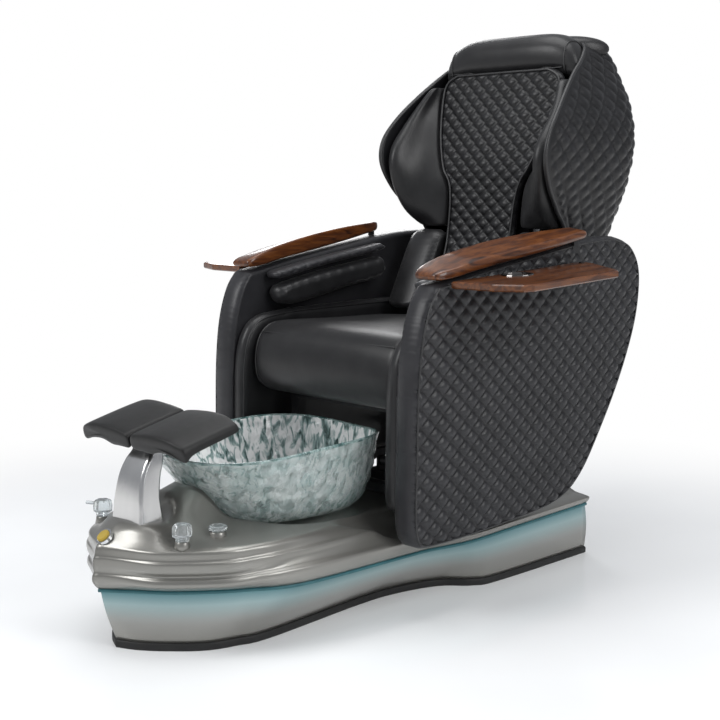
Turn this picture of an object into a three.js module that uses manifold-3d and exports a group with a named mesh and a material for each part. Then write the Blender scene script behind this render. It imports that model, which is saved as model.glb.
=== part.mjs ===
// Pedicure spa chair: a massage lounger on a foot-spa base, built as separate pieces.
// Millimetres, +Z up. The sitter faces -Y and the sitter's left is +X. The origin is on the
// floor under the middle of the base.
import * as THREE from 'three';
import { mergeVertices } from 'three/addons/utils/BufferGeometryUtils.js';
import Module from 'manifold-3d';

const wasm = await Module();
wasm.setup();

// ---- driving dimensions -------------------------------------------------------------
const BASE_FRONT = -694;
const BASE_REAR = 705;
const STRIP_HEIGHT = 18;
const SKIRT_TOP = 147;
const DECK_Z = 232;
const SHEET = 6;
const GAP = 0.4;

const BOWL = { y: -256, halfWidth: 228, halfLength: 289, foot: 238, rim: 425, wall: 9, flare: 0.045 };
const RECESS = { y: -235, front: 270, rear: 280, floor: 234, hole: 30 };
const POST = { pinY: -588, pinZ: 456 };
const FOOTREST = { tilt: 14, halfWidth: 202, thickness: 24 };

const SEAT = { halfWidth: 262, front: -62, rear: 424, bottom: 490, top: 684 };
const PANEL = { inner: 310, outer: 388, bevel: 14 };
const LINER = { inner: 268.5, outer: PANEL.inner - GAP };
const HINGE = { y: 470, z: 540 };
const RECLINE_SLOPE = 0.29;
const ARM = { pinY: 506, pinZ: 920, pinX: 382 };
const TRAY = { pivotX: 419, pivotY: 478, pivotZ: 829, thickness: 17, tilt: 2.95 };

// ---- colours and finishes -----------------------------------------------------------
const finish = (color, roughness, metalness) => new THREE.MeshStandardMaterial({ color, roughness, metalness });
const LEATHER = finish(0x1c1c1f, 0.5, 0);
const PEWTER = finish(0x8d8982, 0.3, 0.8);
const CHROME = finish(0xc9ccd0, 0.12, 1);
const STEEL = finish(0x55585c, 0.45, 0.9);
const WALNUT = finish(0x5a2c17, 0.3, 0);
const GLASS = finish(0xa9cfc8, 0.08, 0);
const CLEAR = finish(0xdfe6e8, 0.08, 0);
const RUBBER = finish(0x141414, 0.85, 0);
const PLASTIC = finish(0x232427, 0.6, 0);
const GLOW = finish(0x2f8f9c, 0.4, 0);

const model = new THREE.Group();

// ---- solids -------------------------------------------------------------------------
function indexed(geometry) {
  const bare = geometry.clone();
  for (const name of Object.keys(bare.attributes)) {
    if (name !== 'position') bare.deleteAttribute(name);
  }
  return mergeVertices(bare, 1e-4);
}

function volume(geometry) {
  const p = geometry.attributes.position;
  const at = (i) => new THREE.Vector3().fromBufferAttribute(p, geometry.index.getX(i));
  let total = 0;
  for (let i = 0; i < geometry.index.count; i += 3) total += at(i).dot(at(i + 1).cross(at(i + 2)));
  return total / 6;
}

function flipped(geometry) {
  const index = Array.from(geometry.index.array);
  for (let i = 0; i < index.length; i += 3) [index[i], index[i + 1]] = [index[i + 1], index[i]];
  geometry.setIndex(index);
  return geometry;
}

function solid(geometry) {
  const merged = indexed(geometry);
  return volume(merged) < 0 ? flipped(merged) : merged;
}

function toManifold(geometry) {
  const g = solid(geometry);
  return new wasm.Manifold(new wasm.Mesh({
    numProp: 3,
    vertProperties: Float32Array.from(g.attributes.position.array),
    triVerts: Uint32Array.from(g.index.array),
  }));
}

function fromManifold(body) {
  const mesh = body.getMesh();
  const geometry = new THREE.BufferGeometry();
  geometry.setAttribute('position', new THREE.BufferAttribute(new Float32Array(mesh.vertProperties), 3));
  geometry.setIndex(Array.from(mesh.triVerts));
  return geometry;
}

const join = (...parts) => fromManifold(parts.map(toManifold).reduce((a, b) => a.add(b)));
const cut = (from, ...tools) => fromManifold(tools.map(toManifold).reduce((a, b) => a.subtract(b), toManifold(from)));

function mirrored(geometry) {
  const copy = indexed(geometry);
  copy.applyMatrix4(new THREE.Matrix4().makeScale(-1, 1, 1));
  return flipped(copy);
}

function add(name, geometry, material) {
  const mesh = new THREE.Mesh(solid(geometry), material);
  mesh.name = name;
  model.add(mesh);
}

function addPair(name, geometry, material) {
  add(`${name}_left`, geometry, material);
  add(`${name}_right`, mirrored(geometry), material);
}

function box(x0, x1, y0, y1, z0, z1) {
  const g = new THREE.BoxGeometry(x1 - x0, y1 - y0, z1 - z0);
  return g.translate((x0 + x1) / 2, (y0 + y1) / 2, (z0 + z1) / 2);
}

// A round bar from point a to point b.
function bar(a, b, radius, segments = 16, endRadius = radius) {
  const from = new THREE.Vector3(...a);
  const to = new THREE.Vector3(...b);
  const g = new THREE.CylinderGeometry(endRadius, radius, from.distanceTo(to), segments);
  const turn = new THREE.Quaternion().setFromUnitVectors(new THREE.Vector3(0, 1, 0), to.clone().sub(from).normalize());
  return g.applyQuaternion(turn).translate((a[0] + b[0]) / 2, (a[1] + b[1]) / 2, (a[2] + b[2]) / 2);
}

// A profile of [radius, height] points turned about a vertical axis at (x, y, z).
function turned(profile, x, y, z, segments = 24) {
  const g = new THREE.LatheGeometry(profile.map((p) => new THREE.Vector2(...p)), segments);
  return g.rotateX(Math.PI / 2).translate(x, y, z);
}

function tube(points, radius, steps = 24, sides = 10) {
  const path = new THREE.CatmullRomCurve3(points.map((p) => new THREE.Vector3(...p)));
  const section = new THREE.Shape().absarc(0, 0, radius, 0, Math.PI * 2, false);
  return new THREE.ExtrudeGeometry(section, { extrudePath: path, steps, curveSegments: sides });
}

const smooth = (points, count) => new THREE.SplineCurve(points.map((p) => new THREE.Vector2(...p))).getPoints(count);

// A side view outline in (Y, Z), extruded across X with rounded edges.
function sideSlab(outline, x0, x1, bevel = 0, bevelSegments = 3) {
  const shape = new THREE.Shape(outline.map((p) => (p.isVector2 ? p : new THREE.Vector2(...p))));
  const g = new THREE.ExtrudeGeometry(shape, {
    depth: x1 - x0 - 2 * bevel, bevelEnabled: bevel > 0, bevelThickness: bevel,
    bevelSize: bevel, bevelOffset: -bevel, bevelSegments, curveSegments: 8,
  });
  g.translate(0, 0, x0 + bevel);
  return g.applyMatrix4(new THREE.Matrix4().set(0, 0, 1, 0, 1, 0, 0, 0, 0, 1, 0, 0, 0, 0, 0, 1));
}

// A plan outline in (X, Y), extruded up Z with rounded edges.
function planSlab(outline, z0, z1, bevel = 0, holes = []) {
  const shape = new THREE.Shape(outline.map((p) => (p.isVector2 ? p : new THREE.Vector2(...p))));
  shape.holes = holes;
  const g = new THREE.ExtrudeGeometry(shape, {
    depth: z1 - z0 - 2 * bevel, bevelEnabled: bevel > 0, bevelThickness: bevel,
    bevelSize: bevel, bevelOffset: -bevel, bevelSegments: 1, curveSegments: 8,
  });
  return g.translate(0, 0, z0 + bevel);
}

// A skin through rings of equal point counts. When looped, the last ring joins the first,
// which leaves a hole through the middle; otherwise both end rings are filled.
function skin(rings, looped = false) {
  const n = rings[0].length;
  const positions = rings.flat(2);
  const index = [];
  const joints = looped ? rings.length : rings.length - 1;
  for (let k = 0; k < joints; k += 1) {
    const a = k * n;
    const b = ((k + 1) % rings.length) * n;
    for (let i = 0; i < n; i += 1) {
      const j = (i + 1) % n;
      index.push(a + i, a + j, b + j, a + i, b + j, b + i);
    }
  }
  if (!looped) {
    const cap = (ring, start, reverse) => {
      const middle = [0, 1, 2].map((axis) => ring.reduce((s, p) => s + p[axis], 0) / n);
      const c = positions.length / 3;
      positions.push(...middle);
      for (let i = 0; i < n; i += 1) {
        const j = (i + 1) % n;
        index.push(...(reverse ? [c, start + j, start + i] : [c, start + i, start + j]));
      }
    };
    cap(rings[0], 0, true);
    cap(rings[rings.length - 1], (rings.length - 1) * n, false);
  }
  const g = new THREE.BufferGeometry();
  g.setAttribute('position', new THREE.BufferAttribute(new Float32Array(positions), 3));
  g.setIndex(index);
  return g;
}

// Reads a value at z from a list of [z, value] pairs, along a straight line between them.
function along(table, z) {
  const k = table.findIndex((row) => row[0] >= z);
  if (k === 0) return table[0][1];
  if (k < 0) return table[table.length - 1][1];
  const [z0, v0] = table[k - 1];
  const [z1, v1] = table[k];
  return v0 + ((v1 - v0) * (z - z0)) / (z1 - z0);
}

const mix = (a, b, t) => a + (b - a) * t;
const ease = (a, b, v) => THREE.MathUtils.smoothstep(v, a, b);

// ---- outlines of the base -----------------------------------------------------------
// Half outlines from the prow to the rear corner, matched point by point.
const FLOOR_LINE = [[0, BASE_FRONT], [50, -670], [104, -626], [160, -562], [185, -492], [199, -400], [172, -92], [174, 43],
  [207, 168], [267, 237], [289, 320], [289, BASE_REAR]];
const SKIRT_LINE = [[0, -736], [66, -682], [128, -630], [185, -563], [230, -495], [286, -370], [297, -60], [300, 30],
  [318, 130], [321, 210], [312, 350], [291, BASE_REAR - 3]];
const STEP_LINE = [[0, -728], [68, -686], [131, -638], [188, -570], [230, -500], [260, -385], [240, -240], [204, -90],
  [188, 20], [186, 110], [186, 260], [186, BASE_REAR - 16]];
const SIDE_POINTS = 22;
const REAR_POINTS = 2;

function outline(half) {
  const right = smooth(half, SIDE_POINTS).map((p) => [p.x, p.y]);
  const [cornerX, rear] = half[half.length - 1];
  for (let i = 1; i <= REAR_POINTS; i += 1) right.push([cornerX * (1 - i / REAR_POINTS), rear]);
  const left = right.slice(1, -1).reverse().map(([x, y]) => [-x, y]);
  return [...right, ...left];
}

// Moves an outline outwards by a distance, with mitred corners.
function offset(ring, distance) {
  const n = ring.length;
  const normal = (p, q) => {
    const length = Math.hypot(q[0] - p[0], q[1] - p[1]);
    return [(q[1] - p[1]) / length, -(q[0] - p[0]) / length];
  };
  return ring.map((p, i) => {
    const a = normal(ring[(i + n - 1) % n], p);
    const b = normal(p, ring[(i + 1) % n]);
    const scale = distance / (1 + a[0] * b[0] + a[1] * b[1]);
    return [p[0] + (a[0] + b[0]) * scale, p[1] + (a[1] + b[1]) * scale];
  });
}

const floorRing = outline(FLOOR_LINE);
const skirtRing = outline(SKIRT_LINE);
const stepRing = outline(STEP_LINE);
const atHeight = (ring, z) => ring.map(([x, y]) => [x, y, z]);

// ---- top deck -----------------------------------------------------------------------
// Each row: how far from the skirt line to the step line, outward bulge at the nose and
// elsewhere, height at the nose, along the bowl and under the seat, then the inward and
// downward thickness of the sheet.
const LEDGE = [
  [0, 0, 0, 147.5, 147.5, 147.5, SHEET, 0],
  [0, 14, 8, 156, 157, 153, SHEET, 0],
  [0, 25, 13, 168, 172, 159, SHEET, 0],
  [0, 25, 12, 180, 186, 165, SHEET, -1],
  [0.1, 20, 4, 189, 194, 170, 5, -3],
  [0.3, 24, 2, 203, 207, 174, 5, -4],
  [0.42, 24, 3, 219, 222, 178, 4, -5],
  [0.55, 20, 0, 227, 228, 188, 3, -SHEET],
  [0.85, 18, 2, 243, 243, 214, 2, -SHEET],
  [1, 12, 0, 250, 250, DECK_Z, 0, -SHEET],
];
// How much of the nose bulge shows at the bow's crease and on its flanks.
const BOW_BULGE = { crease: 0.5, flank: 1.65 };
// Below 1 the deck rises steeply from its rim toward the crest.
const DECK_SWELL = 0.8;

function ledgeRing(row, inward, down) {
  const [blend, noseBulge, bulge, noseZ, sideZ, seatZ] = row;
  const out = offset(skirtRing, 1);
  return skirtRing.map((p, i) => {
    const step = stepRing[i];
    const towardSide = ease(-560, -380, p[1]);
    const underSeat = ease(-70, 10, p[1]);
    const bow = noseBulge * mix(BOW_BULGE.crease, BOW_BULGE.flank, ease(0, 125, Math.abs(p[0])));
    const shift = mix(mix(bow, bulge, towardSide), bulge / 2, underSeat) - inward;
    return [
      mix(p[0], step[0], blend) + (out[i][0] - p[0]) * shift,
      mix(p[1], step[1], blend) + (out[i][1] - p[1]) * shift,
      mix(mix(noseZ, sideZ, towardSide), seatZ, underSeat) + down,
    ];
  });
}

// The edge of the bowl recess: a teardrop that rises to a narrow crest behind the post.
function recessEdge([x, y]) {
  const angle = Math.atan2(x, -(y - RECESS.y));
  const c = Math.cos(angle);
  const crest = 72 * Math.exp(-((angle / 0.34) ** 4)) + 30 * Math.exp(-((angle / 0.95) ** 2));
  const reach = 207 + 10 * Math.sin(angle) ** 2 + (c > 0 ? (RECESS.front - 207) * c ** 14 : (RECESS.rear - 207) * c * c);
  return [
    reach * Math.sin(angle),
    RECESS.y - reach * c,
    mix(250, 238, ease(0, 1, -c)) + crest,
  ];
}

// The deck is levelled under the footrest post.
const POST_SEAT = { y: -626, halfWidth: 62, halfLength: 42, z: 292 };

function levelled([x, y, z]) {
  const far = Math.hypot(x / POST_SEAT.halfWidth, (y - POST_SEAT.y) / POST_SEAT.halfLength);
  return [x, y, mix(POST_SEAT.z, z, ease(1.1, 1.9, far))];
}

function deckRings(down) {
  const edge = stepRing.map(recessEdge);
  const last = ledgeRing(LEDGE[LEDGE.length - 1], 0, down);
  const rings = [0.12, 0.3, 0.5, 0.75].map((t) => last.map((p, i) => levelled([
    mix(p[0], edge[i][0], t),
    mix(p[1], edge[i][1], t),
    mix(p[2] - down, edge[i][2], t ** DECK_SWELL),
  ])).map(([x, y, z]) => [x, y, z + down]));
  const bowlRing = (scale, fall, shift) => edge.map((p) => [
    p[0] * scale,
    RECESS.y + shift + (p[1] - RECESS.y) * scale,
    mix(p[2], RECESS.floor, fall) + down,
  ]);
  rings.push(bowlRing(1, 0, 0), bowlRing(0.94, 0.5, 2), bowlRing(0.86, 0.86, 8), bowlRing(0.74, 1, 16));
  rings.push(edge.map((p) => {
    const length = Math.hypot(p[0], p[1] - RECESS.y);
    return [(p[0] / length) * RECESS.hole, BOWL.y + 36 + ((p[1] - RECESS.y) / length) * RECESS.hole, RECESS.floor + down];
  }));
  return rings;
}

const deckTop = [...LEDGE.map((row) => ledgeRing(row, 0, 0)), ...deckRings(0)];
const deckUnder = [...LEDGE.map((row) => ledgeRing(row, row[6], row[7])), ...deckRings(-SHEET)];

// Low round bosses carry the three knobs.
const KNOBS = { x: 157, y: -618, radius: 20, lobes: 6, base: 267, height: 38 };
const DRAIN_KNOB = { x: 155, y: -517, z: 271 };
const boss = (x, y, top, radius) => bar([x, y, top - 22], [x, y, top], radius, 20, radius - 3);
add('base_top_deck', join(
  skin([...deckTop, ...deckUnder.reverse()], true),
  boss(KNOBS.x, KNOBS.y, KNOBS.base - GAP, 19),
  boss(-KNOBS.x, KNOBS.y, KNOBS.base - GAP, 19),
  boss(DRAIN_KNOB.x, DRAIN_KNOB.y, DRAIN_KNOB.z - GAP, 22),
), PEWTER);

// The deck's top as a filled block, to trim whatever stands on it.
const lift = (rings, z) => rings.map((ring) => ring.map((p) => [p[0], p[1], p[2] + z]));
const deckBlock = skin(lift(deckTop, 2 * GAP));
const onDeck = (geometry) => cut(geometry, deckBlock);

// ---- lower base ---------------------------------------------------------------------
add('kick_strip', skin([
  atHeight(floorRing, 0), atHeight(floorRing, STRIP_HEIGHT),
  atHeight(offset(floorRing, -14), STRIP_HEIGHT), atHeight(offset(floorRing, -14), 0),
], true), RUBBER);
add('base_floor_pan', skin([atHeight(offset(floorRing, -15), 0), atHeight(offset(floorRing, -15), 5)]), STEEL);

function skirtWall(inset) {
  return [0, 0.35, 0.7, 1].map((t) => {
    const bottom = offset(floorRing, -inset);
    const top = offset(skirtRing, -inset - 1);
    return bottom.map((p, i) => [
      mix(p[0], top[i][0], t),
      mix(p[1], top[i][1], t),
      mix(STRIP_HEIGHT + GAP, SKIRT_TOP, t),
    ]);
  });
}
add('base_lower_shell', skin([...skirtWall(2), ...skirtWall(2 + SHEET).reverse()], true), PEWTER);

const LED_TOP = SKIRT_TOP;
add('led_strip', skin([
  atHeight(offset(skirtRing, -1.5), LED_TOP - 7), atHeight(offset(skirtRing, 1.5), LED_TOP - 7),
  atHeight(offset(skirtRing, 1.5), LED_TOP), atHeight(offset(skirtRing, -1.5), LED_TOP),
], true), GLOW);

// ---- glass bowl and drain -----------------------------------------------------------
// Each row: size relative to the rim, height, and how far the section sits back.
const BOWL_SIDE = [[0.5, 238, 58], [0.62, 242, 58], [0.7, 252, 56], [0.77, 272, 52], [0.83, 302, 45],
  [0.885, 340, 34], [0.94, 385, 16], [0.985, 416, 3], [1, BOWL.rim, 0]];
const BOWL_POINTS = 24;
const BOWL_DRAIN = { y: BOWL.y + 36, radius: 24 };

function bowlSection(scale, z, back, inset, wavy) {
  const ring = [];
  for (let i = 0; i < BOWL_POINTS; i += 1) {
    const a = (i / BOWL_POINTS) * Math.PI * 2;
    const squarish = 1 / (Math.abs(Math.sin(a)) ** 2.6 + Math.abs(Math.cos(a)) ** 2.6) ** (1 / 2.6);
    const narrow = 1 - 0.16 * ((1 + Math.cos(a)) / 2) ** 2;
    const front = ((1 + Math.cos(a)) / 2) ** 3;
    const flare = 1 + BOWL.flare * wavy * ((1 - Math.cos(a)) / 2) ** 2;
    ring.push([
      (BOWL.halfWidth * scale - inset) * squarish * Math.sin(a) * narrow * flare,
      BOWL.y + back - (BOWL.halfLength * scale - inset) * squarish * Math.cos(a) * flare,
      z + wavy * (6 * Math.cos(3 * a + 0.4) - 12 * front + 4),
    ]);
  }
  return ring;
}

const wave = (z) => ease(300, BOWL.rim, z);
const bowlOutside = BOWL_SIDE.map(([s, z, back]) => bowlSection(s, z, back, 0, wave(z)));
const bowlInside = BOWL_SIDE.map(([s, z, back]) => bowlSection(s, mix(z + BOWL.wall, z, wave(z)), back, BOWL.wall, wave(z)));
const bowlHole = (z) => bowlSection(1, z, 0, 0, 0).map((p, i) => {
  const a = (i / BOWL_POINTS) * Math.PI * 2;
  return [BOWL_DRAIN.radius * Math.sin(a), BOWL_DRAIN.y - BOWL_DRAIN.radius * Math.cos(a), z];
});
add('glass_bowl', skin([bowlHole(BOWL.foot), ...bowlOutside, ...bowlInside.reverse(), bowlHole(BOWL.foot + BOWL.wall)], true), GLASS);

const drainTop = BOWL.foot + BOWL.wall + GAP;
add('bowl_drain_fitting', turned([
  [14, drainTop + 4], [33, drainTop + 4], [35, drainTop], [21, drainTop], [21, 150], [14, 150], [14, drainTop + 4],
], 0, BOWL_DRAIN.y, 0), CHROME);
add('drain_stopper', turned([
  [0, drainTop + 8], [26, drainTop + 8], [28, drainTop + 5], [12, drainTop + 5], [12, drainTop - 40],
  [0, drainTop - 40],
], 0, BOWL_DRAIN.y, 0), CHROME);
add('drain_hose', tube([[0, BOWL_DRAIN.y, 149.5], [0, BOWL_DRAIN.y, 120], [0, BOWL_DRAIN.y + 26, 84], [0, -60, 60], [60, 200, 50],
  [120, 450, 50], [120, 660, 50]], 17, 14, 5), PLASTIC);

// ---- plumbing and controls inside the base --------------------------------------------
add('jet_pump', join(
  box(-60, 60, -560, -440, 5.4, 24),
  bar([0, -600, 66], [0, -452, 66], 46, 20),
  bar([0, -452, 66], [0, -410, 66], 34, 20),
), PLASTIC);
add('mixer_valve', join(
  bar([-152, -600, 196], [152, -600, 196], 14),
  bar([-147, -600, 196], [-147, -600, 222], 11, 12),
  bar([147, -600, 196], [147, -600, 222], 11, 12),
), CHROME);
add('control_box', box(-110, -10, 430, 600, 5.4, 75), PLASTIC);

// ---- knobs, drain knob and jet button --------------------------------------------------
// A fluted knob: a lobed section drawn up in rings, so that its rim shows grips.

function knobRings(radius, lobe, heights) {
  const count = KNOBS.lobes * 4;
  return heights.map(([scale, z]) => Array.from({ length: count }, (_, i) => {
    const a = (i / count) * Math.PI * 2;
    const r = scale * (radius + lobe * Math.cos(KNOBS.lobes * a));
    return [r * Math.cos(a), r * Math.sin(a), z];
  }));
}

function flutedKnob(radius, height) {
  return skin(knobRings(radius, 1.8, [[0.72, 0], [0.72, 6], [1, 10], [1.04, height * 0.6], [0.96, height - 4], [0.8, height]]));
}

const place = (geometry, x, y, z) => geometry.clone().translate(x, y, z);
add('hot_knob', place(flutedKnob(KNOBS.radius, KNOBS.height), KNOBS.x, KNOBS.y, KNOBS.base), CLEAR);
add('cold_knob', join(
  place(flutedKnob(KNOBS.radius, KNOBS.height), -KNOBS.x, KNOBS.y, KNOBS.base),
  bar([-KNOBS.x, KNOBS.y, KNOBS.base + 28], [-KNOBS.x - 26, KNOBS.y - 30, KNOBS.base + 32], 4, 10),
), CLEAR);
add('drain_knob', place(skin(knobRings(21, 1, [[0.86, 0], [1, 3], [1, 9], [0.86, 12]])),
  DRAIN_KNOB.x, DRAIN_KNOB.y, DRAIN_KNOB.z), CLEAR);

// The jet button faces forward and up on the sloping nose, in a chrome bezel.
const BUTTON = { y: -716, z: 262, lean: 40, radius: 21 };
const BUTTON_AXIS = [0, -Math.sin(THREE.MathUtils.degToRad(BUTTON.lean)), Math.cos(THREE.MathUtils.degToRad(BUTTON.lean))];
const buttonPoint = (d) => [0, BUTTON.y + BUTTON_AXIS[1] * d, BUTTON.z + BUTTON_AXIS[2] * d];
add('jet_button', join(
  bar(buttonPoint(5.5), buttonPoint(9), BUTTON.radius - 5.5, 20),
  bar(buttonPoint(8.5), buttonPoint(10.5), BUTTON.radius - 8, 20),
), PLASTIC);
add('button_bezel', cut(
  bar(buttonPoint(-16), buttonPoint(6.5), BUTTON.radius, 24),
  bar(buttonPoint(1.5), buttonPoint(8), BUTTON.radius - 4.5, 20),
  deckBlock,
), CHROME);

// ---- footrest -------------------------------------------------------------------------
// Sections of the post: height, front, rear and half width.
const POST_SIDE = [[240, -664, -590, 60], [300, -659, -594, 58], [345, -655, -598, 54], [390, -646, -592, 49],
  [422, -631, -581, 45], [440, -617, -576, 41], [451, -612, -576, 39]];
const ROUNDING = 4;

// A rounded rectangle between two corners as a ring of (x, y), round and counter-clockwise.
function roundedRing(x0, x1, y0, y1, radius) {
  const corners = [[x1 - radius, y1 - radius, 0], [x0 + radius, y1 - radius, 1],
    [x0 + radius, y0 + radius, 2], [x1 - radius, y0 + radius, 3]];
  return corners.flatMap(([x, y, quarter]) => Array.from({ length: ROUNDING + 1 }, (_, i) => {
    const a = (quarter + i / ROUNDING) * (Math.PI / 2);
    return [x + radius * Math.cos(a), y + radius * Math.sin(a)];
  }));
}

const pinFrom = (x) => [x, POST.pinY, POST.pinZ];
add('footrest_post', cut(
  join(
    skin(POST_SIDE.map(([z, front, rear, half]) => atHeight(roundedRing(-half, half, front, rear, 10), z))),
    bar(pinFrom(-22), pinFrom(22), 13, 24),
    box(-22, 22, POST.pinY - 10, POST.pinY + 10, 430, POST.pinZ),
  ),
  deckBlock,
  box(22, 32, POST.pinY - 22, POST.pinY + 20, 436, 470),
  box(-32, -22, POST.pinY - 22, POST.pinY + 20, 436, 470),
  bar(pinFrom(-60), pinFrom(60), 6.5, 20),
), CHROME);
add('water_spout', tube([[0, -569, 424], [0, -556, 430], [0, -542, 434], [0, -528, 430]], 8, 10, 5), CLEAR);

// Both pads and the bracket are built level, with the pin at the origin, then tilted.
const padTilt = new THREE.Matrix4().makeTranslation(0, POST.pinY, POST.pinZ)
  .multiply(new THREE.Matrix4().makeRotationX(THREE.MathUtils.degToRad(FOOTREST.tilt)));
const tilted = (geometry) => geometry.clone().applyMatrix4(padTilt);
const PAD = { front: -54, rear: 117, seatZ: 23, lip: 14 };

add('footrest_bracket', tilted(join(
  box(-60, 60, -36, 84, 16, 22),
  box(23, 31, -13, 13, -13, 18),
  box(-31, -23, -13, 13, -13, 18),
  bar([-30, 0, 0], [30, 0, 0], 6, 20),
)), STEEL);

// Height of a pad's top across its width: a valley between the pads, a crest, a drooping end.
function padTop(x) {
  return 46 + 10 * Math.sin(Math.PI * Math.min(1, (x - 4) / 200)) - 8 * ease(150, FOOTREST.halfWidth, x);
}

// Each pad has a deeper lip along its front.
function footPad() {
  const columns = 9;
  const xs = Array.from({ length: columns }, (_, i) => mix(3, FOOTREST.halfWidth, i / (columns - 1)));
  const seat = (x) => Math.max(padTop(x) - FOOTREST.thickness - 12 * (1 - ease(60, 120, x)), x < 62 ? PAD.seatZ : 0);
  const lengths = [[PAD.front, 0.72, PAD.lip], [PAD.front + 6, 1, PAD.lip], [PAD.front + 11, 1, PAD.lip],
    [PAD.front + 17, 1, 0], [PAD.rear - 8, 1, 0], [PAD.rear, 0.72, 0]];
  return skin(lengths.map(([y, thick, lip]) => {
    const under = xs.map((x) => [x, seat(x) - lip]);
    const section = [...under, ...xs.map((x) => [x, padTop(x)]).reverse()];
    return section.map(([x, z], i) => {
      const middle = (z + section[section.length - 1 - i][1]) / 2;
      return [x, y, middle + (z - middle) * thick];
    });
  }));
}
addPair('footrest_pad', tilted(footPad()), LEATHER);

// ---- seat slide and frame ---------------------------------------------------------------
const RAIL = { x: 130, halfWidth: 16, front: 80, rear: 660, bottom: DECK_Z + 1, top: 249 };
addPair('seat_rail', onDeck(box(RAIL.x - RAIL.halfWidth, RAIL.x + RAIL.halfWidth, RAIL.front, RAIL.rear, RAIL.bottom - 8, RAIL.top)), STEEL);

const FRAME = { half: 258, front: 70, rear: 500, low: 250, high: 486, tube: 28 };

function ladder(z0, z1, rearZ) {
  const { half, front, rear, tube: t } = FRAME;
  return [
    box(-half, half, front, front + t, z0, z1),
    box(-half, half, rear - t, rear, rearZ, rearZ + z1 - z0),
    box(-half, -half + t, front, rear, z0, z1),
    box(half - t, half, front, rear, z0, z1),
  ];
}

const post = (x, y) => box(x, x + FRAME.tube, y, y + FRAME.tube, FRAME.low, FRAME.high);
const frameLeft = FRAME.half - FRAME.tube;
const frameRear = FRAME.rear - FRAME.tube;
const ACTUATOR = { y: 190, z: 300, rodY: 560, rodZ: 440 };
const hingeCheek = (x) => box(x, x + 8, HINGE.y - 18, HINGE.y + 18, FRAME.high - 2, HINGE.z + 18);
add('seat_frame', join(
  ...ladder(FRAME.low, FRAME.low + 22, FRAME.low + 80),
  ...ladder(FRAME.high - 22, FRAME.high, FRAME.high - 22),
  post(-FRAME.half, FRAME.front), post(frameLeft, FRAME.front),
  post(-FRAME.half, frameRear), post(frameLeft, frameRear),
  box(-FRAME.half, FRAME.half, ACTUATOR.y - 14, ACTUATOR.y + 14, FRAME.low, FRAME.low + 22),
  box(-30, -22, ACTUATOR.y - 13, ACTUATOR.y + 13, FRAME.low + 10, ACTUATOR.z + 13),
  box(22, 30, ACTUATOR.y - 13, ACTUATOR.y + 13, FRAME.low + 10, ACTUATOR.z + 13),
  bar([-26, ACTUATOR.y, ACTUATOR.z], [26, ACTUATOR.y, ACTUATOR.z], 6, 16),
  hingeCheek(-FRAME.half), hingeCheek(FRAME.half - 8),
  bar([-FRAME.half + 2, HINGE.y, HINGE.z], [-206, HINGE.y, HINGE.z], 9, 20),
  bar([206, HINGE.y, HINGE.z], [FRAME.half - 2, HINGE.y, HINGE.z], 9, 20),
), STEEL);

add('slide_actuator_tube', cut(
  join(bar([0, 330, 262], [0, 660, 262], 15, 20), box(-14, 14, 600, 650, DECK_Z - 6, 262)),
  bar([0, 320, 262], [0, 640, 262], 9, 20),
  deckBlock,
), STEEL);
add('slide_actuator_rod', join(
  bar([0, ACTUATOR.y + 26, 262], [0, 500, 262], 8, 20),
  box(-12, 12, ACTUATOR.y + 14.4, ACTUATOR.y + 34, 253, 271),
), CHROME);

// ---- seat and side panels -----------------------------------------------------------------
const SEAT_SIDE = smooth([[SEAT.rear, 672], [200, 676], [60, SEAT.top - 4], [-10, 676], [-48, 640], [SEAT.front, 580],
  [-50, 520], [-8, SEAT.bottom]], 22);
const CUSHION_BEVEL = 12;
add('seat_cushion', sideSlab([...SEAT_SIDE, [SEAT.rear, SEAT.bottom]], -SEAT.halfWidth, SEAT.halfWidth, CUSHION_BEVEL), LEATHER);

// The panel's top edge climbs to the rear under the wooden arm.
const PANEL_TOP = [[-31, 813], [20, 822], [90, 836], [213, 855], [348, 875], [506, 898], [600, 906], [680, 908]];
const PANEL_BACK = [[680, 908], [752, 886], [798, 830], [806, 754], [786, 654], [730, 528], [648, 395], [548, 266], [440, 208],
  [250, 188], [60, 180], [-48, 180]];
const PANEL_NOSE = [[-48, 180], [-92, 192], [-110, 250], [-108, 400], [-104, 560], [-91, 680], [-64, 767], [-31, 813]];
const panelOutline = [...smooth(PANEL_TOP, 6), ...smooth(PANEL_BACK, 20).slice(1), ...smooth(PANEL_NOSE, 11).slice(1, -1)];
const HINGE_POCKET = { x0: ARM.pinX - 12, x1: ARM.pinX + 3, y0: ARM.pinY - 20, y1: ARM.pinY + 14, depth: 30 };
const pocketFloor = 898 - HINGE_POCKET.depth;
addPair('side_panel', cut(
  sideSlab(panelOutline, PANEL.inner, PANEL.outer, PANEL.bevel, 2),
  box(HINGE_POCKET.x0, HINGE_POCKET.x1, HINGE_POCKET.y0, HINGE_POCKET.y1, pocketFloor, 960),
), LEATHER);

const LINER_SIDE = [...smooth([[-88, 262], [-99, 300], [-98, 420], [-94, 560], [-76, 640], [-30, 688], [70, 704], [200, 708]], 18)
  .map((p) => p.toArray()), [560, 712], [560, 262]];
addPair('arm_inner_pad', sideSlab(LINER_SIDE, LINER.inner, LINER.outer, 8, 2), LEATHER);

const LOWER_PAD = smooth([[428, 838], [200, 806], [60, 780], [26, 765], [27, 740], [54, 722], [120, 726], [280, 756], [428, 784]], 20);
addPair('arm_lower_pad', sideSlab(LOWER_PAD, 242, PANEL.inner - GAP, 7, 2), LEATHER);
const FLAP = smooth([[428, 876], [200, 844], [60, 820], [22, 811], [22, 795], [60, 796], [200, 822], [428, 856]], 18);
addPair('arm_flap', sideSlab(FLAP, 250, PANEL.inner - GAP, 5, 2), LEATHER);

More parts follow.
